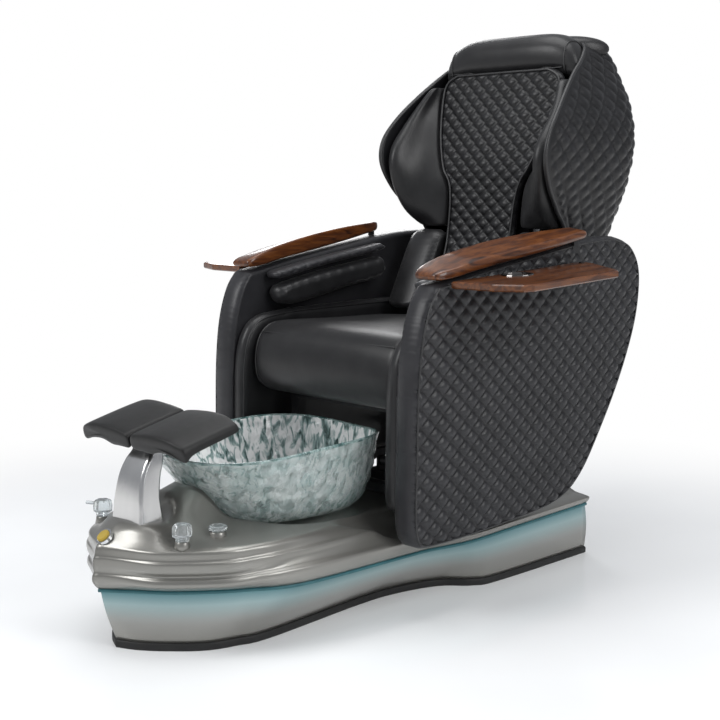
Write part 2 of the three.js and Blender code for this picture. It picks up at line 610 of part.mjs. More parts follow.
// ---- wooden arms --------------------------------------------------------------------------
// Sections along the arm: y, inner x, outer x, underside, inner top and outer top.
const ARM_SIDE = [[-38, 310, 380, 825, 842, 838], [-30, 306, 385, 823, 848, 843], [20, 304, 396, 829, 868, 853],
  [90, 307, 404, 843, 886, 868], [213, 316, 410, 862, 909, 887], [348, 332, 414, 882, 926, 905], [470, 350, 415, 902, 935, 924],
  [511, 357, 414, 908, 938, 930]];

function armSection([y, inner, outer, under, innerTop, outerTop]) {
  const soft = 5;
  return [
    [inner, y, under + soft], [inner + soft, y, under], [outer - soft - 3, y, under], [outer, y, under + soft],
    [outer, y, outerTop - soft], [outer - soft, y, outerTop], [inner + soft, y, innerTop], [inner, y, innerTop - soft],
  ];
}

const pinAcross = (x0, x1, radius) => bar([x0, ARM.pinY - 6, ARM.pinZ], [x1, ARM.pinY - 6, ARM.pinZ], radius, 16);
addPair('wood_arm', cut(
  skin(ARM_SIDE.map(armSection)),
  box(HINGE_POCKET.x0 + 0.5, HINGE_POCKET.x1 - 0.5, ARM.pinY - 22, 540, 880, 960),
  pinAcross(HINGE_POCKET.x0 - 20, HINGE_POCKET.x1 + 14, 4.4),
), WALNUT);
addPair('arm_hinge', join(
  box(HINGE_POCKET.x0 + 1, HINGE_POCKET.x1 - 1, HINGE_POCKET.y0 + 1, HINGE_POCKET.y1 - 1, pocketFloor + GAP, pocketFloor + 20),
  box(HINGE_POCKET.x0 + 1.5, HINGE_POCKET.x1 - 1.5, ARM.pinY - 13, ARM.pinY + 1, pocketFloor + 10, ARM.pinZ),
  pinAcross(HINGE_POCKET.x0 + 1.5, HINGE_POCKET.x1 - 1.5, 9),
  pinAcross(HINGE_POCKET.x0 - 13, HINGE_POCKET.x1 + 11, 4),
), STEEL);

// ---- trays --------------------------------------------------------------------------------
// The tray is built level around its pivot, then tipped forward.
const TRAY_PLAN = [[-24, -478], [100, -477], [172, -452], [186, -430], [191, -110], [180, -94], [18, 18], [0, 22], [-16, 16], [-24, 0]];
const CUP = { x: 24, y: -292, radius: 36, depth: 14 };
const trayPlace = new THREE.Matrix4().makeTranslation(TRAY.pivotX, TRAY.pivotY, TRAY.pivotZ)
  .multiply(new THREE.Matrix4().makeRotationX(THREE.MathUtils.degToRad(TRAY.tilt)));
const onTray = (geometry) => geometry.clone().applyMatrix4(trayPlace);
const hole = (x, y, radius) => new THREE.Path().absarc(x, y, radius, 0, Math.PI * 2, true);
const PIVOT_PIN = 6;
addPair('tray', onTray(planSlab(TRAY_PLAN, 0, TRAY.thickness, 3,
  [hole(CUP.x, CUP.y, CUP.radius), hole(0, 0, PIVOT_PIN + 0.5)])), WALNUT);
addPair('tray_bracket', onTray(join(
  box(-TRAY.pivotX + PANEL.outer + 0.6, 14, -22, 16, -9, -1),
  bar([0, 0, -5], [0, 0, TRAY.thickness + 3], PIVOT_PIN, 14),
)), STEEL);
addPair('cup_holder', onTray(turned([
  [CUP.radius - 3, TRAY.thickness + 3], [CUP.radius + 3, TRAY.thickness + 2.6], [CUP.radius + 4, TRAY.thickness + GAP],
  [CUP.radius - 0.6, TRAY.thickness + GAP], [CUP.radius - 3, TRAY.thickness - CUP.depth], [0, TRAY.thickness - CUP.depth],
  [0, TRAY.thickness - CUP.depth + 2], [CUP.radius - 5, TRAY.thickness - CUP.depth + 2], [CUP.radius - 3, TRAY.thickness + 3],
], CUP.x, CUP.y, 0, 18)), CHROME);

// ---- reclining back -----------------------------------------------------------------------
// The frame's uprights lie on a line that leans back from the hinge.
const UPRIGHT = { x: 163, width: 24, depth: 15, low: 560, high: 1322 };
const lineY = (z) => 540 + RECLINE_SLOPE * (z - UPRIGHT.low);
const leaning = (z0, z1, front, rear) => [[lineY(z0) + front, z0], [lineY(z0) + rear, z0],
  [lineY(z1) + rear, z1], [lineY(z1) + front, z1]];
const crossbar = (z) => sideSlab(leaning(z - 14, z + 14, UPRIGHT.depth - 3, UPRIGHT.depth + 15), -UPRIGHT.x - 12, UPRIGHT.x + 12);
const RACK = { x: 155, z0: 640, z1: 1310 };
const upright = (x) => sideSlab(leaning(UPRIGHT.low, UPRIGHT.high, -UPRIGHT.depth, UPRIGHT.depth), x, x + UPRIGHT.width);
const LUG = { inner: 208, outer: 230 };
const hingeLug = (side) => {
  const [x0, x1] = side > 0 ? [LUG.inner, LUG.outer] : [-LUG.outer, -LUG.inner];
  return join(
    bar([x0, HINGE.y, HINGE.z], [x1, HINGE.y, HINGE.z], 19, 24),
    sideSlab([[455, 552], [484, 527], [550, 588], [548, 622], [512, 616]], x0, x1),
  );
};
const LEVER = { inner: 12, outer: 20 };
const lever = (x) => sideSlab([[524, 612], [552, 612], [572, 440], [566, 429], [553, 429], [547, 440]], x, x + LEVER.outer - LEVER.inner);
add('back_frame', cut(
  join(
    upright(UPRIGHT.x), upright(-UPRIGHT.x - UPRIGHT.width),
    crossbar(700), crossbar(1000), crossbar(1300),
    box(-LUG.outer, LUG.outer, 518, 560, 588, 616),
    hingeLug(1), hingeLug(-1),
    sideSlab(leaning(RACK.z0, RACK.z1, -4, 4), RACK.x, UPRIGHT.x + 2),
    lever(LEVER.inner), lever(-LEVER.outer),
    bar([-16, ACTUATOR.rodY, ACTUATOR.rodZ], [16, ACTUATOR.rodY, ACTUATOR.rodZ], 5, 14),
  ),
  bar([-300, HINGE.y, HINGE.z], [300, HINGE.y, HINGE.z], 9.6, 20),
), STEEL);

// The shell is a D-shaped body hollowed from the front and from below. Each row: height,
// half width, front rim and rear face.
const SHELL = [[440, 244, 562, 650], [600, 252, 562, 745], [760, 258, 572, 835], [903, 262, 622, 905], [980, 280, 558, 926],
  [1040, 296, 504, 938], [1110, 308, 470, 947], [1175, 310, 480, 953], [1240, 300, 530, 956], [1300, 280, 592, 956],
  [1350, 260, 652, 946], [1385, 246, 700, 930], [1418, 228, 740, 900], [1436, 205, 764, 860]];
const SHELL_WALL = 10;
const CORNER = 5;

function shellSection([z, half, front, rear], inset, reach) {
  const radius = Math.min(120, half * 0.6, (rear - front) * 0.45);
  const points = [[half - inset, front - reach]];
  for (let i = 0; i <= CORNER; i += 1) {
    const a = (i / CORNER) * (Math.PI / 2);
    points.push([half - radius + (radius - inset) * Math.cos(a), rear - radius + (radius - inset) * Math.sin(a)]);
  }
  return atHeight([...points, ...points.slice().reverse().map(([x, y]) => [-x, y])], z);
}

// The hollow runs out through the front and the bottom and stops below the roof.
function shellHollow() {
  const rows = SHELL.slice(0, -1).map((row) => shellSection(row, SHELL_WALL, 60));
  const below = shellSection(SHELL[0], SHELL_WALL, 60).map(([x, y, z]) => [x, y, z - 20]);
  return skin([below, ...rows]);
}

// The quilted centre pad: height, half width and front surface.
const CENTRE_PAD = [[652, 112, 452], [760, 114, 500], [860, 116, 538], [910, 120, 553], [1000, 124, 566], [1053, 136, 573],
  [1093, 162, 577], [1175, 193, 599], [1260, 214, 626], [1323, 216, 641], [1352, 200, 646], [1369, 165, 648]];
const PAD_DEPTH = 33;

function centreSection([z, half, front]) {
  const soft = 12;
  return [
    [-half, front + soft, z], [-half + soft, front, z], [half - soft, front, z], [half, front + soft, z],
    [half, front + PAD_DEPTH - 4, z], [half - 4, front + PAD_DEPTH, z], [-half + 4, front + PAD_DEPTH, z], [-half, front + PAD_DEPTH - 4, z],
  ];
}

const frontOf = (z) => along(CENTRE_PAD.map((row) => [row[0], row[2]]), z);
const padHalf = (z) => along(CENTRE_PAD.map((row) => [row[0], row[1]]), z);
const shellHalf = (z) => along(SHELL.map((row) => [row[0], row[1]]), z);

// Shoulder wings curve forward from the centre pad: height and leading edge.
const WING = [[925, 575], [945, 540], [975, 506], [1015, 486], [1065, 472], [1110, 466], [1160, 480], [1215, 524],
  [1275, 570], [1332, 610]];

function wingSection([z, lead]) {
  const outer = shellHalf(z) - SHELL_WALL - 5;
  const tip = Math.min(268, outer - 14);
  const root = Math.max(padHalf(z), 128) + 5;
  const rootFront = frontOf(z) + 6;
  const rear = Math.max(rootFront + 31, lead + 55);
  return [
    [outer, lead + 34, z], [outer, rear, z], [root, rear, z], [root, rootFront, z],
    [mix(root, tip, 0.55), mix(rootFront, lead, 0.35), z], [tip - 14, lead + 12, z], [tip, lead, z],
  ];
}
addPair('shoulder_wing', skin(WING.map(wingSection)), LEATHER);

const BOLSTER = [[426, 698], [452, 748], [492, 830], [524, 888], [548, 912], [578, 914], [584, 890], [560, 838], [480, 698]];
addPair('hip_bolster', sideSlab(BOLSTER, 130, 252, 8, 2), LEATHER);

// The headrest: a pillow, and a hood behind it that sweeps back over the top of the shell.
// Both are sections across the width, narrowing toward rounded ends.
const PILLOW = { half: 238, y: 725, z: 1407, depth: 75, height: 62, sweep: -30, drop: 38 };
const HOOD = { half: 236, y: 790, z: 1432, depth: 70, height: 34, sweep: 40, drop: 6 };
const HEAD_STEPS = [-1, -0.96, -0.88, -0.7, -0.35, 0.35, 0.7, 0.88, 0.96, 1];
const HEAD_SIDES = 14;

function padded(form, grow) {
  return skin(HEAD_STEPS.map((t) => {
    const narrow = (1 - 0.96 * t ** 4) ** 0.7;
    const low = (1 - 0.96 * t ** 6) ** 0.45;
    return Array.from({ length: HEAD_SIDES }, (_, i) => {
      const a = (i / HEAD_SIDES) * Math.PI * 2;
      return [
        (form.half + grow) * t,
        form.y + form.sweep * t ** 6 + (form.depth * narrow + grow) * Math.cos(a),
        form.z - form.drop * t ** 6 + (form.height * low + grow) * Math.sin(a),
      ];
    });
  }));
}

add('headrest_pillow', join(padded(PILLOW, 0), padded(HOOD, 0)), LEATHER);
add('back_shell', cut(skin(SHELL.map((row) => shellSection(row, 0, 0))), shellHollow(), padded(PILLOW, 1.5), padded(HOOD, 1.5)), LEATHER);
add('centre_pad', cut(skin(CENTRE_PAD.map(centreSection)), padded(PILLOW, 1.5)), LEATHER);

// ---- massage mechanism --------------------------------------------------------------------
// Built level around the carriage centre, then leant back onto the line of the uprights.
const LEAN = Math.atan(RECLINE_SLOPE);
const CARRIAGE_Z = 920;
const onLine = (geometry) => geometry.clone().applyMatrix4(
  new THREE.Matrix4().makeTranslation(0, lineY(CARRIAGE_Z), CARRIAGE_Z).multiply(new THREE.Matrix4().makeRotationX(-LEAN)),
);
const ROLLER = { radius: 22, x: 45, width: 22, forward: -28, spread: 58, axle: 5 };
const axleAt = (z) => [ROLLER.forward, z];

const sideEar = (x) => box(x, x + 8, ROLLER.forward - 9, 9, -ROLLER.spread - 9, ROLLER.spread + 9);
const PINION = { x: 142, radius: 12, width: 4 };
add('massage_carriage', onLine(cut(
  join(
    box(-125, 125, -14, 9, -30, 30),
    box(120, 150, 5.5, 9, -10, 10),
    sideEar(72), sideEar(-80),
  ),
  bar([PINION.x, -2, 0], [PINION.x, 12, 0], 4.4, 14),
  ...[-ROLLER.spread, ROLLER.spread].map((z) => bar([-90, ...axleAt(z)], [90, ...axleAt(z)], ROLLER.axle + 0.5, 14)),
)), PLASTIC);

function rollerPair(z) {
  const disc = (x) => bar([x - ROLLER.width / 2, ...axleAt(z)], [x + ROLLER.width / 2, ...axleAt(z)], ROLLER.radius, 20);
  return onLine(join(bar([-84, ...axleAt(z)], [84, ...axleAt(z)], ROLLER.axle, 14), disc(ROLLER.x), disc(-ROLLER.x)));
}
add('upper_rollers', rollerPair(ROLLER.spread), PLASTIC);
add('lower_rollers', rollerPair(-ROLLER.spread), PLASTIC);
add('drive_pinion', onLine(join(
  bar([PINION.x, -PINION.width, 0], [PINION.x, PINION.width, 0], PINION.radius, 20),
  bar([PINION.x, PINION.width - 1, 0], [PINION.x, 8.5, 0], 4, 14),
)), STEEL);

// ---- recline actuator ---------------------------------------------------------------------
const actuatorStart = new THREE.Vector3(0, ACTUATOR.y, ACTUATOR.z);
const actuatorEnd = new THREE.Vector3(0, ACTUATOR.rodY, ACTUATOR.rodZ);
const actuatorPoint = (t) => actuatorStart.clone().lerp(actuatorEnd, t).toArray();
const eye = (p, half, radius) => bar([-half, p[1], p[2]], [half, p[1], p[2]], radius, 20);
add('recline_actuator_body', cut(
  join(bar(actuatorPoint(0.02), actuatorPoint(0.62), 17, 20), eye(actuatorPoint(0), 18, 13)),
  bar(actuatorPoint(0.12), actuatorPoint(0.7), 9, 20),
  eye(actuatorPoint(0), 40, 6.6),
), PLASTIC);
add('recline_actuator_rod', cut(
  join(bar(actuatorPoint(0.3), actuatorPoint(0.99), 8, 20), eye(actuatorPoint(1), 10, 14)),
  eye(actuatorPoint(1), 20, 9),
), CHROME);

export default model;
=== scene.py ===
"""Pedicure spa chair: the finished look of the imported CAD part.

Lengths below are millimetres in the part's own frame (+X the sitter's left, -Y the way the
sitter faces, +Z up) and become metres when a mesh is made.
"""

import math

import bmesh
import bpy
import numpy as np
from mathutils import Matrix, Vector


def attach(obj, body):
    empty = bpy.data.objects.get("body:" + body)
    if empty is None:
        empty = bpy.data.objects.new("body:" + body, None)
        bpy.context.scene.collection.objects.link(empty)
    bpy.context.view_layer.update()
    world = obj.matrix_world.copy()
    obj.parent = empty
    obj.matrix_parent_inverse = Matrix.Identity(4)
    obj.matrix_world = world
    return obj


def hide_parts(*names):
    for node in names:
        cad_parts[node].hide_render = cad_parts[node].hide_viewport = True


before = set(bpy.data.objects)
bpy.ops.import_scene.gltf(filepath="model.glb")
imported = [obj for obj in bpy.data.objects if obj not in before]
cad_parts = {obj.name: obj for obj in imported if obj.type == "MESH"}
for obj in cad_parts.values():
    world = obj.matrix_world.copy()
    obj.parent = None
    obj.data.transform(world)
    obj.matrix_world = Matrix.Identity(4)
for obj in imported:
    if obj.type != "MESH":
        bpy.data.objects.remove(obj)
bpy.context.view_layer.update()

MM = 0.001
SIDES = {"left": 1, "right": -1}

# ---- driving dimensions, the same as the CAD part ----
SKIRT_TOP = 147
STRIP_HEIGHT = 18
DECK_Z = 232
SHEET = 6
RECESS = {"y": -235, "front": 270, "rear": 280, "floor": 234, "hole": 30}
BOWL = {"y": -256, "half_width": 228, "half_length": 289, "rim": 425, "wall": 9, "drain_y": -220, "drain": 24}
SEAT_HALF = 262
PANEL = {"inner": 310, "outer": 388}
PAD_DEPTH = 33


# ---- curves and small maths ----
def spline(points, count):
    """A smooth curve through the points, as count + 1 rows."""
    p = np.asarray(points, float)
    t = np.linspace(0, len(p) - 1, count + 1)
    i = np.minimum(t.astype(int), len(p) - 2)
    f = (t - i)[:, None]
    before, a, b, after = p[np.maximum(i - 1, 0)], p[i], p[i + 1], p[np.minimum(i + 2, len(p) - 1)]
    slope_a, slope_b = (b - before) / 2, (after - a) / 2
    cubic = 2 * a - 2 * b + slope_a + slope_b
    square = 3 * b - 3 * a - 2 * slope_a - slope_b
    return cubic * f**3 + square * f**2 + slope_a * f + a


def mix(a, b, t):
    return a + (b - a) * t


def ease(a, b, v):
    t = np.clip((v - a) / (b - a), 0, 1)
    return t * t * (3 - 2 * t)


# ---- meshes ----
def make(name, points, faces, material):
    mesh = bpy.data.meshes.new(name)
    mesh.from_pydata((np.asarray(points, float) * MM).tolist(), [], [list(f) for f in faces])
    mesh.validate()
    mesh.update()
    mesh.polygons.foreach_set("use_smooth", [True] * len(mesh.polygons))
    obj = bpy.data.objects.new(name, mesh)
    bpy.context.scene.collection.objects.link(obj)
    obj.data.materials.append(material)
    return obj


def outward(obj):
    """Turns every face outward."""
    work = bmesh.new()
    work.from_mesh(obj.data)
    bmesh.ops.recalc_face_normals(work, faces=work.faces)
    work.to_mesh(obj.data)
    work.free()
    return obj


def loft_faces(rings, points, looped=False):
    """Quads between rings of equal point counts."""
    faces = []
    spans = rings if looped else rings - 1
    for k in range(spans):
        a, b = k * points, ((k + 1) % rings) * points
        for i in range(points):
            j = (i + 1) % points
            faces.append((a + i, a + j, b + j, b + i))
    return faces


def loft(name, rings, material, looped=False, capped=True):
    rings = [np.asarray(r, float) for r in rings]
    n = len(rings[0])
    points = np.vstack(rings)
    faces = loft_faces(len(rings), n, looped)
    if capped and not looped:
        for k in (0, len(rings) - 1):
            centre = len(points)
            points = np.vstack([points, rings[k].mean(0)])
            faces += [(k * n + i, k * n + (i + 1) % n, centre) for i in range(n)]
    return outward(make(name, points, faces, material))


def apply_modifiers(obj):
    bpy.context.view_layer.update()
    evaluated = obj.evaluated_get(bpy.context.evaluated_depsgraph_get())
    mesh = bpy.data.meshes.new_from_object(evaluated)
    obj.modifiers.clear()
    obj.data = mesh


def rounded(obj):
    """Subdivides a cage into a soft form."""
    modifier = obj.modifiers.new("soft", "SUBSURF")
    modifier.levels = modifier.render_levels = 2
    apply_modifiers(obj)
    obj.data.polygons.foreach_set("use_smooth", [True] * len(obj.data.polygons))
    return obj


def tube(name, path, radius, material, closed=False, sides=8):
    """A round cord along a path."""
    p = np.asarray(path, float)
    tangent = np.roll(p, -1, 0) - np.roll(p, 1, 0) if closed else np.gradient(p, axis=0)
    tangent /= np.maximum(np.linalg.norm(tangent, axis=1), 1e-9)[:, None]
    up = np.array([0.31, 0.22, 0.92])
    rings = []
    for here, forward in zip(p, tangent):
        side = np.cross(forward, up)
        side /= np.linalg.norm(side)
        lift = np.cross(side, forward)
        up = lift
        turns = np.linspace(0, 2 * math.pi, sides, endpoint=False)
        rings.append(here + radius * (np.cos(turns)[:, None] * side + np.sin(turns)[:, None] * lift))
    return loft(name, rings, material, looped=closed)


def joined(name, objects):
    """One object from several."""
    bpy.ops.object.select_all(action="DESELECT")
    for o in objects:
        o.select_set(True)
    bpy.context.view_layer.objects.active = objects[0]
    bpy.ops.object.join()
    objects[0].name = name
    return objects[0]


# ---- padded slabs, plain or quilted ----
def outline_distance(points, outline):
    """Distance inside a closed outline (negative outside) and the nearest point on it."""
    a = np.asarray(outline, float)
    b = np.roll(a, -1, 0)
    d = b - a
    length2 = (d**2).sum(1)
    inside = np.zeros(len(points), bool)
    best = np.full(len(points), 1e18)
    nearest = np.zeros_like(points)
    for k in range(len(a)):
        t = np.clip(((points - a[k]) @ d[k]) / max(length2[k], 1e-9), 0, 1)
        foot = a[k] + t[:, None] * d[k]
        away = ((points - foot) ** 2).sum(1)
        closer = away < best
        best[closer] = away[closer]
        nearest[closer] = foot[closer]
        crosses = (a[k][1] > points[:, 1]) != (b[k][1] > points[:, 1])
        with np.errstate(divide="ignore", invalid="ignore"):
            x = a[k][0] + (points[:, 1] - a[k][1]) * d[k][0] / (d[k][1] if d[k][1] else 1e-12)
        inside ^= crosses & (points[:, 0] < x)
    distance = np.sqrt(best)
    return np.where(inside, distance, -distance), nearest


def diamond_puff(a, b):
    """A quilted diamond's height, 0 on its seams and 1 in its middle."""
    return np.abs(np.sin(math.pi * a) * np.sin(math.pi * b)) ** 0.55


def slab(name, outline, place, front, back, edge, material, diamond=None, quilt=5.0, cell=7.0, fine=8,
         wall=0.55, power=2.6, crown=0.0, calm=22.0):
    """A padded slab over an outline of (u, v), with place(u, v, h) putting a point h out of the middle plane.

    front and back are its thicknesses either way from that plane. The pad rounds off over the
    distance edge, from the share wall of its thickness at the rim, and crown swells its middle.
    diamond is a quilted diamond's width and height, in steps of fine, and without it the front is a
    plain grid of the size cell. The quilting is quilt deep and fades out toward the rim, over calm.
    """
    outline = np.asarray(outline, float)
    if diamond:
        e1 = np.array([diamond[0] / 2, diamond[1] / 2])
        e2 = np.array([diamond[0] / 2, -diamond[1] / 2])
        n = fine
    else:
        e1, e2, n = np.array([cell, 0.0]), np.array([0.0, cell]), 1
    low, high = outline.min(0), outline.max(0)
    corners = np.array([[low[0], low[1]], [low[0], high[1]], [high[0], low[1]], [high[0], high[1]]]) - low
    lattice = corners @ np.linalg.inv(np.array([e1, e2]))
    a0, b0 = np.floor(lattice.min(0)).astype(int) * n - 1
    a1, b1 = np.ceil(lattice.max(0)).astype(int) * n + 1
    ia, ib = np.meshgrid(np.arange(a0, a1 + 1), np.arange(b0, b1 + 1), indexing="ij")
    uv = low + (ia.ravel() / n)[:, None] * e1 + (ib.ravel() / n)[:, None] * e2
    distance, nearest = outline_distance(uv, outline)
    grid = distance.reshape(ia.shape)
    inside = grid > 0.02 * np.linalg.norm(e1) / n
    quads = inside[:-1, :-1] & inside[1:, :-1] & inside[:-1, 1:] & inside[1:, 1:]
    padded = np.pad(quads, 1)
    count = (padded[:-1, :-1].astype(int) + padded[1:, :-1] + padded[:-1, 1:] + padded[1:, 1:])
    used = (count > 0).ravel()
    rim = ((count > 0) & (count < 4)).ravel()
    uv[rim] = nearest[rim]
    distance = np.where(rim, 0, distance)
    share = np.clip(distance / edge, 0, 1)
    profile = wall + (1 - wall) * (1 - (1 - share) ** power) ** (1 / power)
    height = front * profile + crown * (1 - np.exp(-np.maximum(distance, 0) / 90))
    if diamond:
        puff = diamond_puff(ia.ravel() / n, ib.ravel() / n)
        quilted = ease(4, calm, distance)
        height = height - quilt * (1 - puff) * quilted - 0.35 * quilt * (1 - quilted)
    index = -np.ones(len(uv), int)
    index[used] = np.arange(used.sum())
    total = int(used.sum())
    top = [place(*uv[k], height[k]) for k in np.flatnonzero(used)]
    under = [place(*uv[k], -back * profile[k]) for k in np.flatnonzero(used)]
    columns = ia.shape[1]
    faces, edges = [], {}
    for i, j in zip(*np.nonzero(quads)):
        here, beyond = i * columns + j, (i + 1) * columns + j
        loop = [index[here], index[beyond], index[beyond + 1], index[here + 1]]
        faces.append(tuple(loop))
        faces.append(tuple(total + v for v in reversed(loop)))
        for s in range(4):
            edge_key = (loop[s], loop[(s + 1) % 4])
            if edge_key[::-1] in edges:
                del edges[edge_key[::-1]]
            else:
                edges[edge_key] = True
    for s, t in edges:
        faces.append((t, s, total + s, total + t))
    return outward(make(name, np.array(top + under), faces, material))


# ---- materials ----
class Shader:
    """A node material built in a few calls; coordinates are metres in the part's frame."""

    def __init__(self, name):
        self.material = bpy.data.materials.new(name)
        self.material.use_nodes = True
        self.tree = self.material.node_tree
        self.surface = self.tree.nodes["Principled BSDF"]
        self.place = self.add("ShaderNodeTexCoord").outputs["Object"]

    def add(self, kind, **settings):
        made = self.tree.nodes.new(kind)
        for key, value in settings.items():
            setattr(made, key, value)
        return made

    def link(self, source, target):
        self.tree.links.new(source, target)

    def set(self, **values):
        for key, value in values.items():
            self.surface.inputs[key.replace("_", " ")].default_value = value
        return self

    def scaled(self, scale):
        mapping = self.add("ShaderNodeMapping")
        mapping.inputs["Scale"].default_value = scale
        self.link(self.place, mapping.inputs["Vector"])
        return mapping.outputs["Vector"]

    def noise(self, scale, detail=3, stretch=None, distortion=0.0):
        made = self.add("ShaderNodeTexNoise")
        made.inputs["Scale"].default_value = scale
        made.inputs["Detail"].default_value = detail
        made.inputs["Distortion"].default_value = distortion
        self.link(self.scaled(stretch) if stretch else self.place, made.inputs["Vector"])
        return made.outputs["Fac"]

    def cells(self, scale, feature="F1"):
        made = self.add("ShaderNodeTexVoronoi", feature=feature)
        made.inputs["Scale"].default_value = scale
        self.link(self.place, made.inputs["Vector"])
        return made.outputs["Distance"]

    def ramp(self, source, stops):
        made = self.add("ShaderNodeValToRGB")
        ramp = made.color_ramp
        while len(ramp.elements) < len(stops):
            ramp.elements.new(0.5)
        for element, (at, color) in zip(ramp.elements, stops):
            element.position = at
            element.color = (*color, 1)
        self.link(source, made.inputs["Fac"])
        return made.outputs["Color"]

    def color(self, source, stops, target="Base Color"):
        self.link(self.ramp(source, stops), self.surface.inputs[target])
        return self

    def level(self, source, low, high, target="Roughness"):
        made = self.add("ShaderNodeMapRange")
        made.inputs["To Min"].default_value = low
        made.inputs["To Max"].default_value = high
        self.link(source, made.inputs["Value"])
        self.link(made.outputs["Result"], self.surface.inputs[target])
        return self

    def bump(self, source, depth, strength=1.0):
        made = self.add("ShaderNodeBump")
        made.inputs["Strength"].default_value = strength
        made.inputs["Distance"].default_value = depth
        self.link(source, made.inputs["Height"])
        if self.surface.inputs["Normal"].is_linked:
            self.link(self.surface.inputs["Normal"].links[0].from_socket, made.inputs["Normal"])
        self.link(made.outputs["Normal"], self.surface.inputs["Normal"])
        return self


def leather(name, dark, light, roughness):
    """Grained leather with painted shade where it folds into a seam and a painted highlight on its ridges."""
    s = Shader(name)
    fold = s.add("ShaderNodeNewGeometry").outputs["Pointiness"]
    tone = s.ramp(s.noise(14, 4), [(0.3, dark), (0.75, light)])
    # Painted shade and highlight: pointiness darkens the tone in creases and seams and lightens it on ridges.
    shade = s.ramp(fold, [(0.42, (0.25, 0.25, 0.25)), (0.5, (1, 1, 1)), (0.58, (1.25, 1.25, 1.25))])
    shaded = s.add("ShaderNodeVectorMath", operation="MULTIPLY")
    s.link(tone, shaded.inputs[0])
    s.link(shade, shaded.inputs[1])
    s.link(shaded.outputs["Vector"], s.surface.inputs["Base Color"])
    s.level(s.noise(60, 3), roughness - 0.05, roughness + 0.07)
    s.bump(s.cells(620, "DISTANCE_TO_EDGE"), 0.00025, 0.35)
    s.bump(s.noise(38, 3), 0.0012, 0.3)
    return s.set(Specular_IOR_Level=0.36, Sheen_Weight=0.04, Sheen_Roughness=0.4).material


LEATHER = leather("charcoal_leather", (0.011, 0.011, 0.012), (0.020, 0.020, 0.021), 0.36)
PAD_LEATHER = leather("matte_pad_leather", (0.004, 0.004, 0.004), (0.008, 0.008, 0.008), 0.48)
QUILT_LEATHER = leather("quilted_back_leather", (0.007, 0.007, 0.008), (0.014, 0.014, 0.016), 0.37)
PANEL_LEATHER = leather("panel_leather", (0.014, 0.014, 0.016), (0.025, 0.025, 0.028), 0.38)


def metal(name, low, high, roughness, stretch, metallic=1.0):
    s = Shader(name)
    s.color(s.noise(5, 4, stretch), [(0.3, low), (0.7, high)])
    s.level(s.noise(30, 4, stretch), roughness * 0.8, roughness * 1.25)
    s.bump(s.noise(240, 2, stretch), 0.00004, 0.35)
    return s.set(Metallic=metallic).material


# Darkened chrome: painted shade for the cup-holder recesses.
SHADED_RECESS_CHROME = metal("chrome_with_painted_recess_shade", (0.16, 0.15, 0.15), (0.24, 0.23, 0.22), 0.2, (1, 1, 1))
CHROME = metal("polished_chrome", (0.60, 0.61, 0.62), (0.72, 0.73, 0.74), 0.10, (1, 1, 1))
BRUSHED = metal("brushed_steel", (0.62, 0.62, 0.62), (0.70, 0.70, 0.70), 0.24, (2, 2, 0.15))
BLACK_STEEL = metal("black_frame_steel", (0.018, 0.018, 0.019), (0.032, 0.032, 0.034), 0.5, (1, 6, 1),
                    metallic=0.4)
STEEL = metal("satin_steel", (0.18, 0.18, 0.19), (0.26, 0.26, 0.27), 0.42, (1, 6, 1))


def lacquer():
    s = Shader("pewter_lacquer")
    s.color(s.noise(3, 3), [(0.3, (0.225, 0.220, 0.203)), (0.7, (0.280, 0.275, 0.254))])
    s.level(s.cells(900), 0.30, 0.40)
    s.bump(s.noise(700, 2), 0.00003, 0.25)
    return s.set(Metallic=0.72, Coat_Weight=0.5, Coat_Roughness=0.14).material


LACQUER = lacquer()


def glowing_lacquer():
    """Lacquer with the dim teal light under the ledge painted on: painted shade and a painted teal glow, in
    colour and emission, run from dark teal at the top down to its own pale pewter.
    """
    s = Shader("lit_lacquer")
    s.level(s.cells(900), 0.26, 0.38)
    split = s.add("ShaderNodeSeparateXYZ")
    s.link(s.place, split.inputs[0])
    drop = s.add("ShaderNodeMapRange")
    drop.inputs["From Min"].default_value = STRIP_HEIGHT * MM
    drop.inputs["From Max"].default_value = SKIRT_TOP * MM
    s.link(split.outputs["Z"], drop.inputs["Value"])
    height = drop.outputs["Result"]
    # Painted light: the upper colours are painted shade and painted teal light under the ledge, and the
    # lowest is the lacquer's own pewter.
    shade_and_glow_colors = [(0, (0.27, 0.262, 0.24)), (0.45, (0.31, 0.31, 0.295)), (0.72, (0.27, 0.33, 0.335)),
             (0.96, (0.05, 0.125, 0.14))]
    # Painted glow: the shell gives off teal light although it is no lamp.
    glow = [(0.35, (0, 0, 0)), (0.74, (0.03, 0.075, 0.08)), (0.9, (0.02, 0.07, 0.08)),
            (1, (0.01, 0.05, 0.06))]
    s.color(height, shade_and_glow_colors)
    s.color(height, glow, "Emission Color")
    return s.set(Metallic=0.7, Coat_Weight=0.5, Coat_Roughness=0.08, Emission_Strength=1.0).material


LIT_LACQUER = glowing_lacquer()


def led():
    s = Shader("led_diffuser")
    s.color(s.noise(40, 2), [(0.3, (0.015, 0.07, 0.085)), (0.7, (0.025, 0.10, 0.115))])
    s.bump(s.noise(90, 2), 0.0002, 0.2)
    s.set(Roughness=0.5, Emission_Strength=0.12)
    s.surface.inputs["Emission Color"].default_value = (0.04, 0.24, 0.28, 1)
    return s.material


LED = led()


def walnut():
    s = Shader("glossy_walnut")
    grain = s.noise(11, 6, (7, 0.7, 7), 0.9)
    s.color(grain, [(0.28, (0.022, 0.006, 0.002)), (0.46, (0.085, 0.024, 0.006)),
                    (0.62, (0.150, 0.048, 0.011)), (0.8, (0.038, 0.011, 0.003))])
    s.bump(s.noise(160, 3, (8, 0.7, 8)), 0.0001, 0.25)
    return s.set(Roughness=0.34, Specular_IOR_Level=0.3, Coat_Weight=0.5, Coat_Roughness=0.07).material


WALNUT = walnut()


